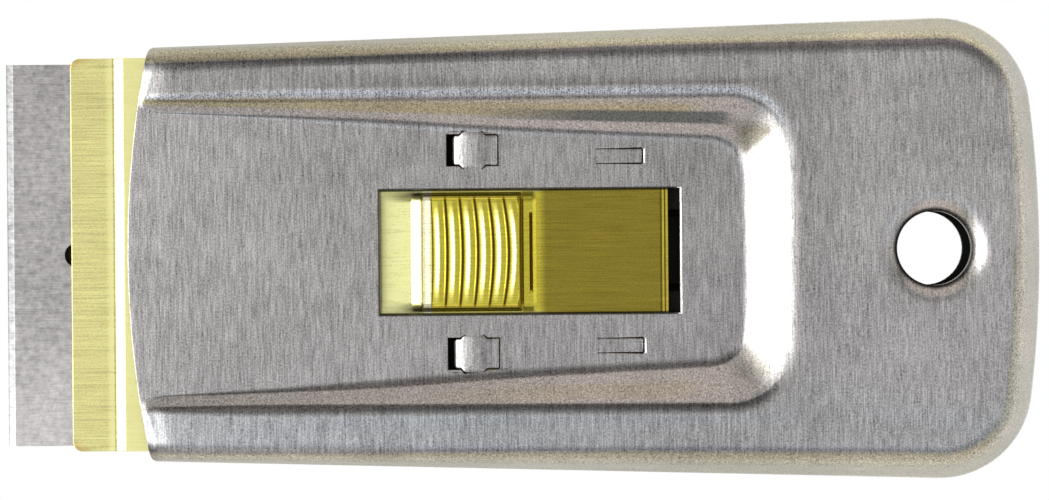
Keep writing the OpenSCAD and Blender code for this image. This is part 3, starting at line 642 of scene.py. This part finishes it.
def whole(half):
    return np.concatenate([half, half[-2::-1] * (1, -1, 1)])


def settled(piece):
    """The piece with its modifiers turned into plain mesh."""
    bpy.context.view_layer.update()
    seen = piece.evaluated_get(bpy.context.evaluated_depsgraph_get())
    mesh = bpy.data.meshes.new_from_object(seen)
    piece.modifiers.clear()
    old, piece.data = piece.data, mesh
    mesh.name = piece.name
    bpy.data.meshes.remove(old)
    return piece


# %% Skin
loops = [whole(ring) for ring in rings]
count = len(loops[0])
points = np.concatenate(loops)
faces = quads(np.arange(len(points)).reshape(-1, count))
base = (len(loops) - 1) * count
EDGE_ROWS_SHORT = 6
steps, last = len(FRONT_STEPS), len(FRONT_STEPS) - EDGE_ROWS_SHORT
setback = np.full(count, 99.0)
setback[:steps] = setback[::-1][:steps] = FRONT_STEPS
setback = np.tile(setback, len(loops))
across = np.linspace(1, -1, 41)[1:-1]
edge_rows = []
for i in range(last + 1):
    start = len(points)
    row_x = front_x(points[base, 1] * across) + FRONT_STEPS[i]
    row = np.column_stack([row_x, points[base + i, 1] * across, np.full(len(across), PANEL_Z)])
    points = np.concatenate([points, row])
    setback = np.concatenate([setback, np.full(len(row), FRONT_STEPS[i])])
    edge_rows.append([base + i, *range(start, start + len(row)), base + count - 1 - i])
for near, far in zip(edge_rows, edge_rows[1:]):
    faces += quads(np.array([near, far]))
seams = [int(np.argmin(np.abs(inner[:, 0] - px))) for px in PANEL_SEAMS]
faces.append((*range(base + last, base + seams[0] + 1),
              *range(base + count - 1 - seams[0], base + count - last), *edge_rows[-1][-2:0:-1]))
for near, far in zip(seams, seams[1:]):
    faces.append((*range(base + near, base + far + 1), *range(base + count - 1 - far, base + count - near)))
faces.append(tuple(range(base + seams[-1], base + count - seams[-1])))
body = faced_out(mesh_object("body_sheet", points, faces, body_steel))
if max(body.data.polygons, key=lambda face: face.area).normal.z < 0:
    body.data.flip_normals()
print("skin:", len(body.data.polygons), "faces")

# %% Marks and thickness
marked = {}
for slot, name in enumerate(MARKS):
    values = np.full(len(points), {"bend": -3.0, "brow": 9.0, "side": 1.0}.get(name, 0.0), np.float32)
    ringed = np.concatenate([np.concatenate([mark[slot], mark[slot][-2::-1]]) for mark in marks])
    values[: len(ringed)] = ringed
    marked[name] = values
    noted(body, name, values)
sheet = body.modifiers.new("sheet", "SOLIDIFY")
sheet.thickness, sheet.offset, sheet.use_even_offset = SHEET * MM, -1.0, True
settled(body)
rolled = ROLL_R - np.clip(setback, 0, ROLL_R)
drop = (ROLL_R - np.sqrt(ROLL_R**2 - rolled**2)) * (1 - soft(marked["bend"] / 0.5))
spots = np.empty(len(body.data.vertices) * 3)
body.data.vertices.foreach_get("co", spots)
spots = spots.reshape(-1, 3) / MM
halves = [slice(k * len(points), (k + 1) * len(points)) for k in (0, 1)]
outer_skin = [half for half in halves if np.abs(spots[half] - points).max() < 0.01][0]
spots[outer_skin, 2] -= drop
body.data.vertices.foreach_set("co", (spots * MM).ravel())
print("body sheet:", len(body.data.polygons), "faces, edge let down by", round(float(drop.max()), 3), "mm")

# %% [markdown]
# ## Openings in the panel
# The window, the openings of the two lanced bridges and the slits round the two stop tabs are sheared through
# the flat panel, and the hang hole through the deck. One mesh of upright prisms takes them all out of the
# thick sheet with an exact Boolean, which keeps the rings outside the openings as they are.

# %% Cutters
BRIDGE_X, BRIDGE_LEN, BRIDGE_W, BRIDGE_Y, NECK_W = X_FRONT + 31.7, 5.2, 3.2, 10.1, 2.0
TAB_X, TAB_LEN, TAB_W, TAB_Y, LANCE_GAP = X_FRONT + 46.6, 4.5, 1.4, 9.4, 0.14
HOLE_X, HOLE_R, ROLL_OUT, ROLL_DROP, COLLAR_END = X_REAR - 11.5, 3.65, 2.1, 1.0, -1.75
ROUND = 128


def prism(bm, outline, z0, z1):
    """An upright prism over a plan outline, added to a bmesh in millimetres."""
    low = [bm.verts.new((px, py, z0)) for px, py in outline]
    top = [bm.verts.new((px, py, z1)) for px, py in outline]
    n = len(outline)
    bm.faces.new(low[::-1])
    bm.faces.new(top)
    for i in range(n):
        bm.faces.new((low[i], low[(i + 1) % n], top[(i + 1) % n], top[i]))


def rectangle(x0, x1, y0, y1):
    return [(x0, y0), (x1, y0), (x1, y1), (x0, y1)]


def bridge_opening(side):
    """A rectangle whose corners run out in four short slanted nicks beside the neck."""
    x0, x1, half_w, nick = BRIDGE_X, BRIDGE_X + BRIDGE_LEN, BRIDGE_W / 2, 0.28
    n0 = x0 + (BRIDGE_LEN - NECK_W) / 2
    n1 = n0 + NECK_W
    line = [(x0, -half_w), (n0 - 0.35, -half_w), (n0 + 0.05, -half_w - nick),
            (n0 + 0.3, -half_w - nick * 0.4), (n1 - 0.3, -half_w - nick * 0.4),
            (n1 - 0.05, -half_w - nick), (n1 + 0.35, -half_w), (x1, -half_w)]
    line += [(px, -py) for px, py in reversed(line)]
    return [(px, py + side * BRIDGE_Y) for px, py in line]


def shear_out(piece, cut):
    """Takes the prisms in a bmesh out of a piece."""
    cut.transform(TO_METRES)
    cutter = placed("cutter", bpy.data.meshes.new("cutter"))
    cut.to_mesh(cutter.data)
    cut.free()
    shear = piece.modifiers.new("shear", "BOOLEAN")
    shear.operation, shear.solver, shear.object = "DIFFERENCE", "EXACT", cutter
    settled(piece)
    bpy.data.objects.remove(cutter)


cut = bmesh.new()
z0, z1 = PANEL_Z - SHEET - 0.4, PANEL_Z + 0.4
prism(cut, rectangle(X_WINDOW, X_WINDOW + WINDOW_LEN, -WINDOW_W / 2, WINDOW_W / 2), z0, z1)
for side in (-1, 1):
    prism(cut, bridge_opening(side), z0, z1)
    tight, slack = TAB_W / 2 + 0.02, TAB_W / 2 + LANCE_GAP
    x0, x1 = TAB_X, TAB_X + TAB_LEN + LANCE_GAP
    slit = [(x0, -tight), (x1 - 0.2, -slack), (x1, -slack + 0.2)]
    slit += [(px, -py) for px, py in reversed(slit)]
    prism(cut, [(px, py + side * TAB_Y) for px, py in slit], z0, z1)
around = [2 * math.pi * i / ROUND for i in range(ROUND)]
hole_r = HOLE_R + ROLL_OUT
prism(cut, [(HOLE_X + hole_r * math.cos(a), hole_r * math.sin(a)) for a in around], 4.0, 9.0)
noted(body, "known", np.ones(len(body.data.vertices), np.float32))
shear_out(body, cut)
old = np.empty(len(body.data.vertices), np.float32)
body.data.attributes["known"].data.foreach_get("value", old)
PANEL_MARKS, DECK_MARKS = (0, -3, 0, 0, 9, 1), (0, -3, 1, 9, 0, 1)
for i in np.flatnonzero(old < 0.5).tolist():
    on_panel = body.data.vertices[i].co.x < 20.0 * MM
    for name, value in zip(MARKS, PANEL_MARKS if on_panel else DECK_MARKS):
        body.data.attributes[name].data[i].value = value
body.data.attributes.remove(body.data.attributes["known"])
print("after shearing:", len(body.data.polygons), "faces,", int((old < 0.5).sum()), "new points marked")


# %% [markdown]
# ## Rolled-over edges
# A sheared edge is never sharp on the side that the punch came from, and that small round catches the light.
# Edges are chosen by their angle and by a rule for each piece, so no edge has to be picked by hand.

# %% Rolled-over edges
CRISP_DEG = 16.0


def rolled_over(piece, width, limit_deg=50.0, share=None, segments=2, smooth=True):
    """Rounds edges sharper than a limit. A smooth piece keeps lesser bends crisp, with weighted normals."""
    chosen = 0
    with edited(piece.data) as bm:
        weight = bm.edges.layers.float.new("bevel_weight_edge")
        for rim in bm.edges:
            bent = rim.calc_face_angle(0.0) if len(rim.link_faces) == 2 else 0.0
            if bent > math.radians(limit_deg):
                middle = (rim.verts[0].co + rim.verts[1].co) / 2 / MM
                rim[weight] = share(middle, rim) if share else 1.0
                chosen += rim[weight] > 0
            if bent > math.radians(CRISP_DEG) and rim[weight] == 0:
                rim.smooth = False
    piece.data.polygons.foreach_set("use_smooth", np.full(len(piece.data.polygons), smooth))
    bevel = piece.modifiers.new("bevel", "BEVEL")
    bevel.limit_method, bevel.width, bevel.segments = "WEIGHT", width * MM, segments
    bevel.use_clamp_overlap = False
    if smooth:
        normals = piece.modifiers.new("normals", "WEIGHTED_NORMAL")
        normals.keep_sharp, normals.weight = True, 100
    settled(piece)
    return chosen


def die_roll(p, rim):
    """Wide on sheared edges that face the front, small on the others, none below or at the hole."""
    if math.hypot(p.x - HOLE_X, p.y) < HOLE_R + ROLL_OUT + 0.6:
        return 0.0
    if p.x < front_x(p.y) + 1.0 or (p.z < PANEL_Z - 0.3 and abs(p.y) < RECESS_HALF):
        return 0.0
    return 1.0 if any(face.normal.x < -0.7 for face in rim.link_faces) else 0.4


print(rolled_over(body, 0.26, share=die_roll, segments=4), "edges rolled over")

# %% [markdown]
# ## Rolled hang hole
# The edge of the hole is rolled in so that it doesn't cut a cord. A bevel can't make a roll this wide, so a
# profile is turned round the hole: it leaves the deck, curls down ever steeper and ends in a short collar.

# %% Hang hole
deck_z = PANEL_Z + float(depth(HOLE_X, 0.0))
roll = [(t, -ROLL_DROP * (1 - t / ROLL_OUT) ** 2.4) for t in ROLL_OUT * np.linspace(1, 0, 22)]
profile = [(HOLE_R + t, h) for t, h in roll] + [(HOLE_R, COLLAR_END), (HOLE_R + SHEET, COLLAR_END)]
profile += [(HOLE_R + SHEET, -ROLL_DROP - 0.35), (HOLE_R + ROLL_OUT, -SHEET)]
tan = [0.45 * float(soft((1.25 - t) / 0.6)) for t, h in roll] + [0.4] * 4
# Painted shade: the inner end of the roll and the collar are marked to be dark.
dark = [float(soft((0.5 - t) / 0.35)) for t, h in roll] + [1.0] * 4
points = []
for r, h in profile:
    for a in around:
        out_x = r * math.cos(a)
        points.append((HOLE_X + out_x, r * math.sin(a), deck_z + out_x * BAND_SLOPE + h))
faces = quads(np.pad(np.arange(len(points)).reshape(-1, ROUND), (0, 1), "wrap"))
hole = faced_out(mesh_object("hang_hole_roll", points, faces, body_steel))
hole.data.shade_smooth()
hole.data.set_sharp_from_angle(angle=math.radians(40))
deck, far_off = [1.0] * len(profile), [9.0] * len(profile)
for name, values in (("flange", tan), ("collar", dark), ("wall", deck), ("toe", far_off)):
    noted(hole, name, np.repeat(np.array(values, np.float32), ROUND))
print("hang hole:", len(faces), "faces")

# %% [markdown]
# ## Lanced bridges and stop tabs
# Each bridge stays joined at its neck while its wings are pushed down, and each stop tab is bent down at its
# free end. Both are strips with a bent path, so one function forms them from a path and its half widths.

# %% Formed sheets
def formed_sheet(name, path, half_widths, thickness, finish):
    """A strip that follows a path in X and Z, with a half width of its own at every point."""
    path, half_widths = np.asarray(path, float), np.asarray(half_widths, float)
    along = np.gradient(path, axis=0)
    normal = np.column_stack([-along[:, 1], along[:, 0]]) / lengths(along)[:, None]
    lower = path - normal * thickness
    across = np.linspace(-1, 1, 9)
    points = [(px, half * s, pz) for line in (path, lower) for (px, pz), half in zip(line, half_widths)
              for s in across]
    grid = np.arange(len(points)).reshape(2, len(path), len(across))
    sheets = [*grid, grid[:, :, 0], grid[:, :, -1], grid[:, 0], grid[:, -1]]
    faces = [face for sheet in sheets for face in quads(sheet)]
    made = faced_out(mesh_object(name, points, faces, finish))
    rolled_over(made, 0.08)
    return made


top = PANEL_Z - 0.05
x_wing, x_crest, x_end = BRIDGE_X + 0.55, BRIDGE_X + 3.1, BRIDGE_X + BRIDGE_LEN - LANCE_GAP
n0 = BRIDGE_X + (BRIDGE_LEN - NECK_W) / 2
path, widths = [], []
rising = x_wing + (x_crest - x_wing) * np.linspace(0, 1, 22) ** 1.3
for px in np.concatenate([rising, np.linspace(x_crest, x_end, 18)[1:]]):
    if px < x_crest:
        u = (px - x_wing) / (x_crest - x_wing)
        pz = top - 0.42 * (1 - u) ** 2 - 0.25 * max(0.0, 1 - u / 0.15) ** 2
    else:
        pz = top - 0.26 * soft((px - x_crest - 0.1) / 1.2)
    ear = math.sqrt(1 - (1 - min(1.0, (px - x_wing) / 0.4)) ** 2)
    wing = (BRIDGE_W / 2 - LANCE_GAP) * (0.72 + 0.28 * ear)
    grip = soft((px - n0 + 0.35) / 0.4) * soft((n0 + NECK_W + 0.35 - px) / 0.4)
    path.append((px, pz))
    widths.append(wing + grip * 0.36)
bridge = formed_sheet("lanced_bridge", path, widths, SHEET, body_steel)
xs = np.linspace(TAB_X - 0.4, TAB_X + TAB_LEN, 14)
path = [(px, PANEL_Z - 0.02 - 0.28 * soft((px - TAB_X) / TAB_LEN)) for px in xs]
tab = formed_sheet("stop_tab", path, [TAB_W / 2] * len(xs), SHEET, body_steel)
print("formed:", bridge.name, len(bridge.data.polygons), "faces,", tab.name, len(tab.data.polygons), "faces")


# %% [markdown]
# ## Both pairs
# Bridges and tabs stand in pairs on both sides of the window. Copies made by hand would have to be kept
# alike, so a small Geometry Nodes tree sets one formed sheet on two points.

# %% One tree for both pairs
def new_tree(name, inputs):
    """A tree with named inputs: its wire, the inputs' identifiers and their sockets as wires."""
    tree = bpy.data.node_groups.new(name, "GeometryNodeTree")
    identifiers = {}
    for label, kind, value in inputs:
        made = tree.interface.new_socket(label, in_out="INPUT", socket_type="NodeSocket" + kind)
        if value is not None:
            made.default_value = value
        identifiers[label] = made.identifier
    tree.interface.new_socket("Geometry", in_out="OUTPUT", socket_type="NodeSocketGeometry")
    entry = tree.nodes.new("NodeGroupInput")
    return Wire(tree), identifiers, {label: Wire(tree, entry.outputs[label]) for label in identifiers}


def finish_tree(g, geometry, finish):
    """Real mesh with its finish at the way out."""
    real = g.node("GeometryNodeRealizeInstances", {"Geometry": geometry})
    done = g.node("GeometryNodeSetMaterial", {"Geometry": real, "Material": finish})
    g.tree.links.new(done.socket, g.tree.nodes.new("NodeGroupOutput").inputs["Geometry"])


g, pair_in, take = new_tree("pair_across_window", (
    ("Formed Sheet", "Object", None), ("Distance", "Float", 0.01), ("Finish", "Material", None)))
pair_tree = g.tree
start = g.join(0.0, take["Distance"] * -1.0, 0.0)
step = g.join(0.0, take["Distance"] * 2.0, 0.0)
places = g.node("GeometryNodeMeshLine", {"Count": 2, "Start Location": start, "Offset": step})
shape = g.node("GeometryNodeObjectInfo", {"Object": take["Formed Sheet"]}, "Geometry")
pair = g.node("GeometryNodeInstanceOnPoints", {"Points": places, "Instance": shape})
finish_tree(g, pair, take["Finish"])


def grown(name, tree, sockets, values):
    """An object made by a tree and turned into plain mesh."""
    made = placed(name, bpy.data.meshes.new(name))
    grow = made.modifiers.new("grow", "NODES")
    grow.node_group = tree
    for key, value in values.items():
        grow[sockets[key]] = value
    return settled(made)


def paired(name, sheet, distance):
    values = {"Formed Sheet": sheet, "Distance": distance * MM, "Finish": body_steel}
    return grown(name, pair_tree, pair_in, values)


bridges = paired("lanced_bridges", bridge, BRIDGE_Y)
tabs = paired("stop_tabs", tab, TAB_Y)
for pattern in (bridge, tab):
    bpy.data.objects.remove(pattern)
print("pairs:", len(bridges.data.polygons), len(tabs.data.polygons), "faces")

# %% [markdown]
# ## Thumb button
# The button is pressed up out of the carrier's sheet, so it is a height over the plan: a ramp and a riser at
# the front, round shoulders at the sides, and bowed ribs that meet in sharp valleys. A grid lifted by one
# formula in Geometry Nodes gives exactly that, and pitch, rise and bow of the ribs stay inputs.

# %% Button: inputs, plan and ramp
BUTTON_MARGIN, FLARE_RUN = 0.6, 3.1
button_sizes = {
    "Length": BUTTON_LEN, "Width": BUTTON_W, "Height": BUTTON_H, "Ramp Run": 0.95, "Ramp Rise": 0.5,
    "Riser": 0.25, "Rear Foot": 1.35, "Side Round": 0.7, "Rib Rise": 0.13, "Rib Pitch": 1.52,
    "First Valley": 2.12, "Rib Bow": 0.06, "Apron": 0.14, "Flare": 0.3, "Flare Run": FLARE_RUN,
    "Margin": BUTTON_MARGIN, "Front X": X_BUTTON, "Base Z": SLIDE_TOP,
}
g, button_in, take = new_tree("ribbed_button", (
    *((label, "Float", value) for label, value in button_sizes.items()), ("Finish", "Material", None)))
size_x = take["Length"] + take["Margin"] + take["Flare Run"]
size_y = take["Width"] + take["Margin"] * 2.0
fineness = {"Size X": size_x, "Size Y": size_y, "Vertices X": 300, "Vertices Y": 150}
plan = g.node("GeometryNodeMeshGrid", fineness, "Mesh")
gx, gy = g.node("GeometryNodeInputPosition").split()[:2]
from_front = gx + size_x * 0.5 - take["Flare Run"]
from_side = take["Width"] * 0.5 - gy.abs()
rear_face = take["Length"] - take["Rear Foot"]
ramp_end = take["Ramp Run"] + take["Riser"]
ramp = (from_front / take["Ramp Run"]).clamped() * take["Ramp Rise"]
riser = from_front.rise(take["Ramp Run"], ramp_end) * (take["Height"] - take["Ramp Rise"] - take["Apron"])
riser = riser + from_front.rise(ramp_end - 0.1, take["First Valley"] + 0.1) * take["Apron"]
rear = (rear_face - from_front).rise(0.0, take["Riser"])
print("plan and ramp:", len(g.tree.nodes), "nodes")

# %% Button: shoulders and ribs
inside = (from_side / take["Side Round"]).clamped()
side = (1.0 - (1.0 - inside) ** 2.0) ** 0.5
bow = (gy * 2.0 / take["Width"]) ** 2.0 * take["Rib Bow"] * (from_front + 1.0)
along = from_front + bow - take["First Valley"]
turn = g.math("FRACT", along / take["Rib Pitch"] + 8.0)
zone = along.rise(-0.03, 0.03) * (rear_face - from_front - take["Riser"]).rise(-0.03, 0.03)
crest = turn.rise(0.08, 0.60) - turn.rise(0.50, 0.80)
crest = crest + (turn.rise(0.78, 0.92) - turn.rise(0.92, 1.0)) * 0.3
ribs = crest * zone * take["Rib Rise"] * from_side.rise(0.0, 2.6)
to_end = take["Length"] - from_front
pad = (from_front - rear_face).rise(-0.3, 0.25) * to_end.rise(-0.25, 0.35) * 0.3
slot = (to_end - take["Rear Foot"] * 0.30).abs().fall(0.06, 0.2) * from_side.rise(1.7, 2.1)
before = ((from_front + take["Flare Run"]) / take["Flare Run"]).clamped()
flare = before ** 1.2 * from_front.fall(take["Ramp Run"], ramp_end) * take["Flare"]
lifted = (ramp + riser) * rear * side + ribs + (pad - slot * pad + flare) * from_side.rise(-0.3, 0.9)
print("with ribs:", len(g.tree.nodes), "nodes")

# %% Button: marks for painted shade and highlights, and mesh
# Painted shade: the creases at the top of the front riser and at the rear face, the valleys between the ribs
# and the rear slot are marked to be dark.
corner = (from_front - ramp_end + 0.06).abs().fall(0.06, 0.15)
corner = corner + (from_front - rear_face + 0.08).abs().fall(0.06, 0.15)
seam = (0.5 - (turn - 0.5).abs()).fall(0.04, 0.13) * zone
paler_side_and_crease_shade = g.math("MINIMUM", (corner + seam) * from_side.rise(0.1, 0.7) + slot, 1.0)
# Painted highlight: the crests of the ribs and the apron before them are marked to be pale.
bright = turn.between(0.14, 0.34, 0.40, 0.58) * zone * from_side.rise(0.3, 4.2)
apron_end = take["First Valley"]
bright = bright + from_front.between(ramp_end - 0.1, ramp_end, apron_end - 0.2, apron_end)
marked_plan = plan
for name, value in (("valley", paler_side_and_crease_shade), ("bright", bright)):
    note = {"Geometry": marked_plan, "Name": name, "Value": value}
    marked_plan = g.node("GeometryNodeStoreNamedAttribute", note, data_type="FLOAT", domain="POINT")
place = g.join(take["Front X"] - take["Flare Run"] + size_x * 0.5, 0.0, take["Base Z"] + lifted)
moved = g.node("GeometryNodeSetPosition", {"Geometry": marked_plan, "Offset": place})
smooth = g.node("GeometryNodeSetShadeSmooth", {"Geometry": moved})
finish_tree(g, smooth, take["Finish"])
button = grown("thumb_button", g.tree, button_in, {**button_sizes, "Finish": carrier_brass})
button.data.transform(TO_METRES)
sheet = button.modifiers.new("sheet", "SOLIDIFY")
sheet.thickness, sheet.offset = SLIDE_T * MM, -1.0
settled(button)
button_top = max(v.co.z for v in button.data.vertices) / MM
print("button:", len(button.data.polygons), "faces, up to", round(button_top, 2), "mm")


# %% [markdown]
# ## Softened copies of the plain sheets
# The carrier, plate and jaw already have the right form as solids. A copy with merged points gets a fine
# bevel, since a knife-sharp edge never catches light. Its faces stay flat, so that the narrow step of the
# carrier's lip keeps its own light. The carrier's copy first loses its plain button.

# %% Softened copies
def softened(node, name, finish, bevel, cut_box=None):
    def clear_of_button(p, rim):
        x0, x1, y0, y1 = cut_box[:4]
        return 0.0 if x0 - 0.1 < p.x < x1 + 0.1 and y0 - 0.1 < p.y < y1 + 0.1 else 1.0

    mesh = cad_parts[node].data.copy()
    made = placed(name, mesh)
    mesh.materials.clear()
    mesh.materials.append(finish)
    if "custom_normal" in mesh.attributes:
        mesh.attributes.remove(mesh.attributes["custom_normal"])
    with edited(mesh) as bm:
        bmesh.ops.remove_doubles(bm, verts=bm.verts, dist=0.002 * MM)
        bmesh.ops.dissolve_limit(bm, angle_limit=math.radians(1.0), verts=bm.verts, edges=bm.edges)
    if cut_box:
        cut = bmesh.new()
        prism(cut, rectangle(*cut_box[:4]), *cut_box[4:])
        shear_out(made, cut)
    edges = rolled_over(made, bevel, 40.0, share=cut_box and clear_of_button, smooth=False)
    print(name, len(made.data.polygons), "faces,", edges, "edges rolled over")
    return made


half_w = BUTTON_W / 2 + BUTTON_MARGIN
button_end = X_BUTTON + BUTTON_LEN + BUTTON_MARGIN
button_box = (X_BUTTON - FLARE_RUN, button_end, -half_w, half_w, 2.3, 9.0)
carrier_sheet = softened("blade_slide", "carrier_sheet", carrier_brass, 0.07, button_box)
plate_sheet = softened("back_plate", "plate_sheet", plate_steel, 0.08)
# Faces that do not look down are marked for the plate's painted inside shade.
DOWNWARD = -0.15
inward = np.array([face.normal.z > DOWNWARD for face in plate_sheet.data.polygons], np.float32)
noted(plate_sheet, "inside", inward, "FACE")
jaw_leaf = softened("lower_jaw", "jaw_leaf", jaw_steel, 0.05)

# %% [markdown]
# ## Everything rides on its body
# Each finer piece stands for its solid and moves with the solid's body. The blade and its spine keep
# their solids and only take a finish.

# %% Ride and replace
sheets = ((body, "top_shell", "body_steel"), (plate_sheet, "back_plate", "plate_steel"))
for piece, node, slot_name in sheets:
    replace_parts(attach(piece, "body"), node)
for piece in (hole, bridges, tabs):
    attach(piece, "body")
sheets = ((carrier_sheet, "blade_slide", "carrier_brass"), (jaw_leaf, "lower_jaw", "jaw_steel"))
for piece, node, slot_name in sheets:
    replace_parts(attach(piece, "carrier"), node)
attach(button, "carrier")
for node, finish in (("razor_blade", blade_steel), ("blade_spine", spine_steel)):
    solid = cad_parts[node]
    solid.data.materials.clear()
    solid.data.materials.append(finish)
finer = (body, plate_sheet, hole, bridges, tabs, carrier_sheet, jaw_leaf, button)
print("finer pieces:", [piece.name for piece in finer])

# %% [markdown]
# ## Floor
# The scraper lies on white paper. A lit paper would be grey at the edges of the view, so the paper glows by
# itself where it is looked at, and is plain paper for the light that it throws back.

# %% Floor
floor_finish = bpy.data.materials.new("white_paper")
floor_finish.use_nodes = True
tree = floor_finish.node_tree
tree.nodes.clear()
w = Wire(tree)
ray = tree.nodes.new("ShaderNodeLightPath")
seen = Wire(tree, ray.outputs["Is Camera Ray"])
for name in ("Is Glossy Ray", "Is Transmission Ray"):
    seen = seen.larger(Wire(tree, ray.outputs[name]))
paper = w.node("ShaderNodeBsdfDiffuse", {"Color": (0.8, 0.8, 0.8, 1.0)})
glow = w.node("ShaderNodeEmission", {"Color": (1.0, 1.0, 1.0, 1.0), "Strength": 1.0})
shown = w.node("ShaderNodeMixShader", {0: seen, 1: paper, 2: glow})
tree.links.new(shown.socket, tree.nodes.new("ShaderNodeOutputMaterial").inputs["Surface"])
REACH, UNDER = 1500, -0.02
corners = [(px, py, UNDER) for px, py in rectangle(-REACH, REACH, -REACH, REACH)]
floor = mesh_object("floor", corners, [(0, 1, 2, 3)], floor_finish)

# %% [markdown]
# ## Room and lamp
# Polished steel shows the room, so the room is drawn by direction: a window on the left makes every wall that
# faces it white, its frame is dark, the rest is an even grey that is bluish to the front and dim behind. Real
# cards would do too, but with more noise. One soft lamp on the left adds shadows.

# %% Room and lamp
room = bpy.data.worlds.new("grey_room")
bpy.context.scene.world = room
room.use_nodes = True
tree = room.node_tree
tree.nodes.clear()
w = Wire(tree)
dx, dy = w.node("ShaderNodeTexCoord", out="Generated").split()[:2]
ray = tree.nodes.new("ShaderNodeLightPath")
seen = Wire(tree, ray.outputs["Is Camera Ray"])
to_left, to_front = dx * -1.0, dy * -1.0
across = to_left - dy.abs() * 1.1
window = across.clamped()
window = window.larger(across.rise(0.12, 0.40) * dy.abs().rise(0.30, 0.50))
housing = across.between(-0.50, -0.25, 0.0, 0.12) * dy.abs().rise(0.36, 0.50)
right = dx.rise(0.70, 0.92)
shade = dy.between(0.0, 0.54, 0.58, 0.70)
sky = to_front.between(0.0, 0.30, 0.45, 0.66)
dusk = to_front.between(0.46, 0.58, 0.64, 0.76)
far = dy.abs().rise(0.60, 0.73)
room_colour = right.mixed((0.47, 0.465, 0.46), (0.80, 0.78, 0.75))
for share, tint in (
    (sky, (0.53, 0.565, 0.61)), (dusk, (0.36, 0.37, 0.38)), (far, (0.78, 0.72, 0.69)),
    (shade * 0.8, (0.14, 0.145, 0.14)), (housing * 0.9, (0.10, 0.10, 0.07)),
    (window, (2.0, 2.0, 1.96)),
):
    room_colour = share.mixed(room_colour, tint)
grey = w.node("ShaderNodeBackground", {"Color": room_colour, "Strength": 1.0})
white = w.node("ShaderNodeBackground", {"Color": (1.0, 1.0, 1.0, 1.0), "Strength": 1.0})
both = w.node("ShaderNodeMixShader", {0: seen, 1: grey, 2: white})
tree.links.new(both.socket, tree.nodes.new("ShaderNodeOutputWorld").inputs["Surface"])
strip = bpy.data.lights.new("left_strip", "AREA")
strip.shape, strip.size, strip.size_y, strip.energy = "RECTANGLE", 0.8, 0.8, 8.0
lamp = placed("left_strip", strip)
lamp.location = (-1.0, 0.0, 0.9)
lamp.rotation_euler = (0.0, math.radians(-48.0), 0.0)
bpy.context.scene.view_settings.view_transform = "Standard"
print("room:", len(tree.nodes), "nodes, lamp of", strip.energy, "W")
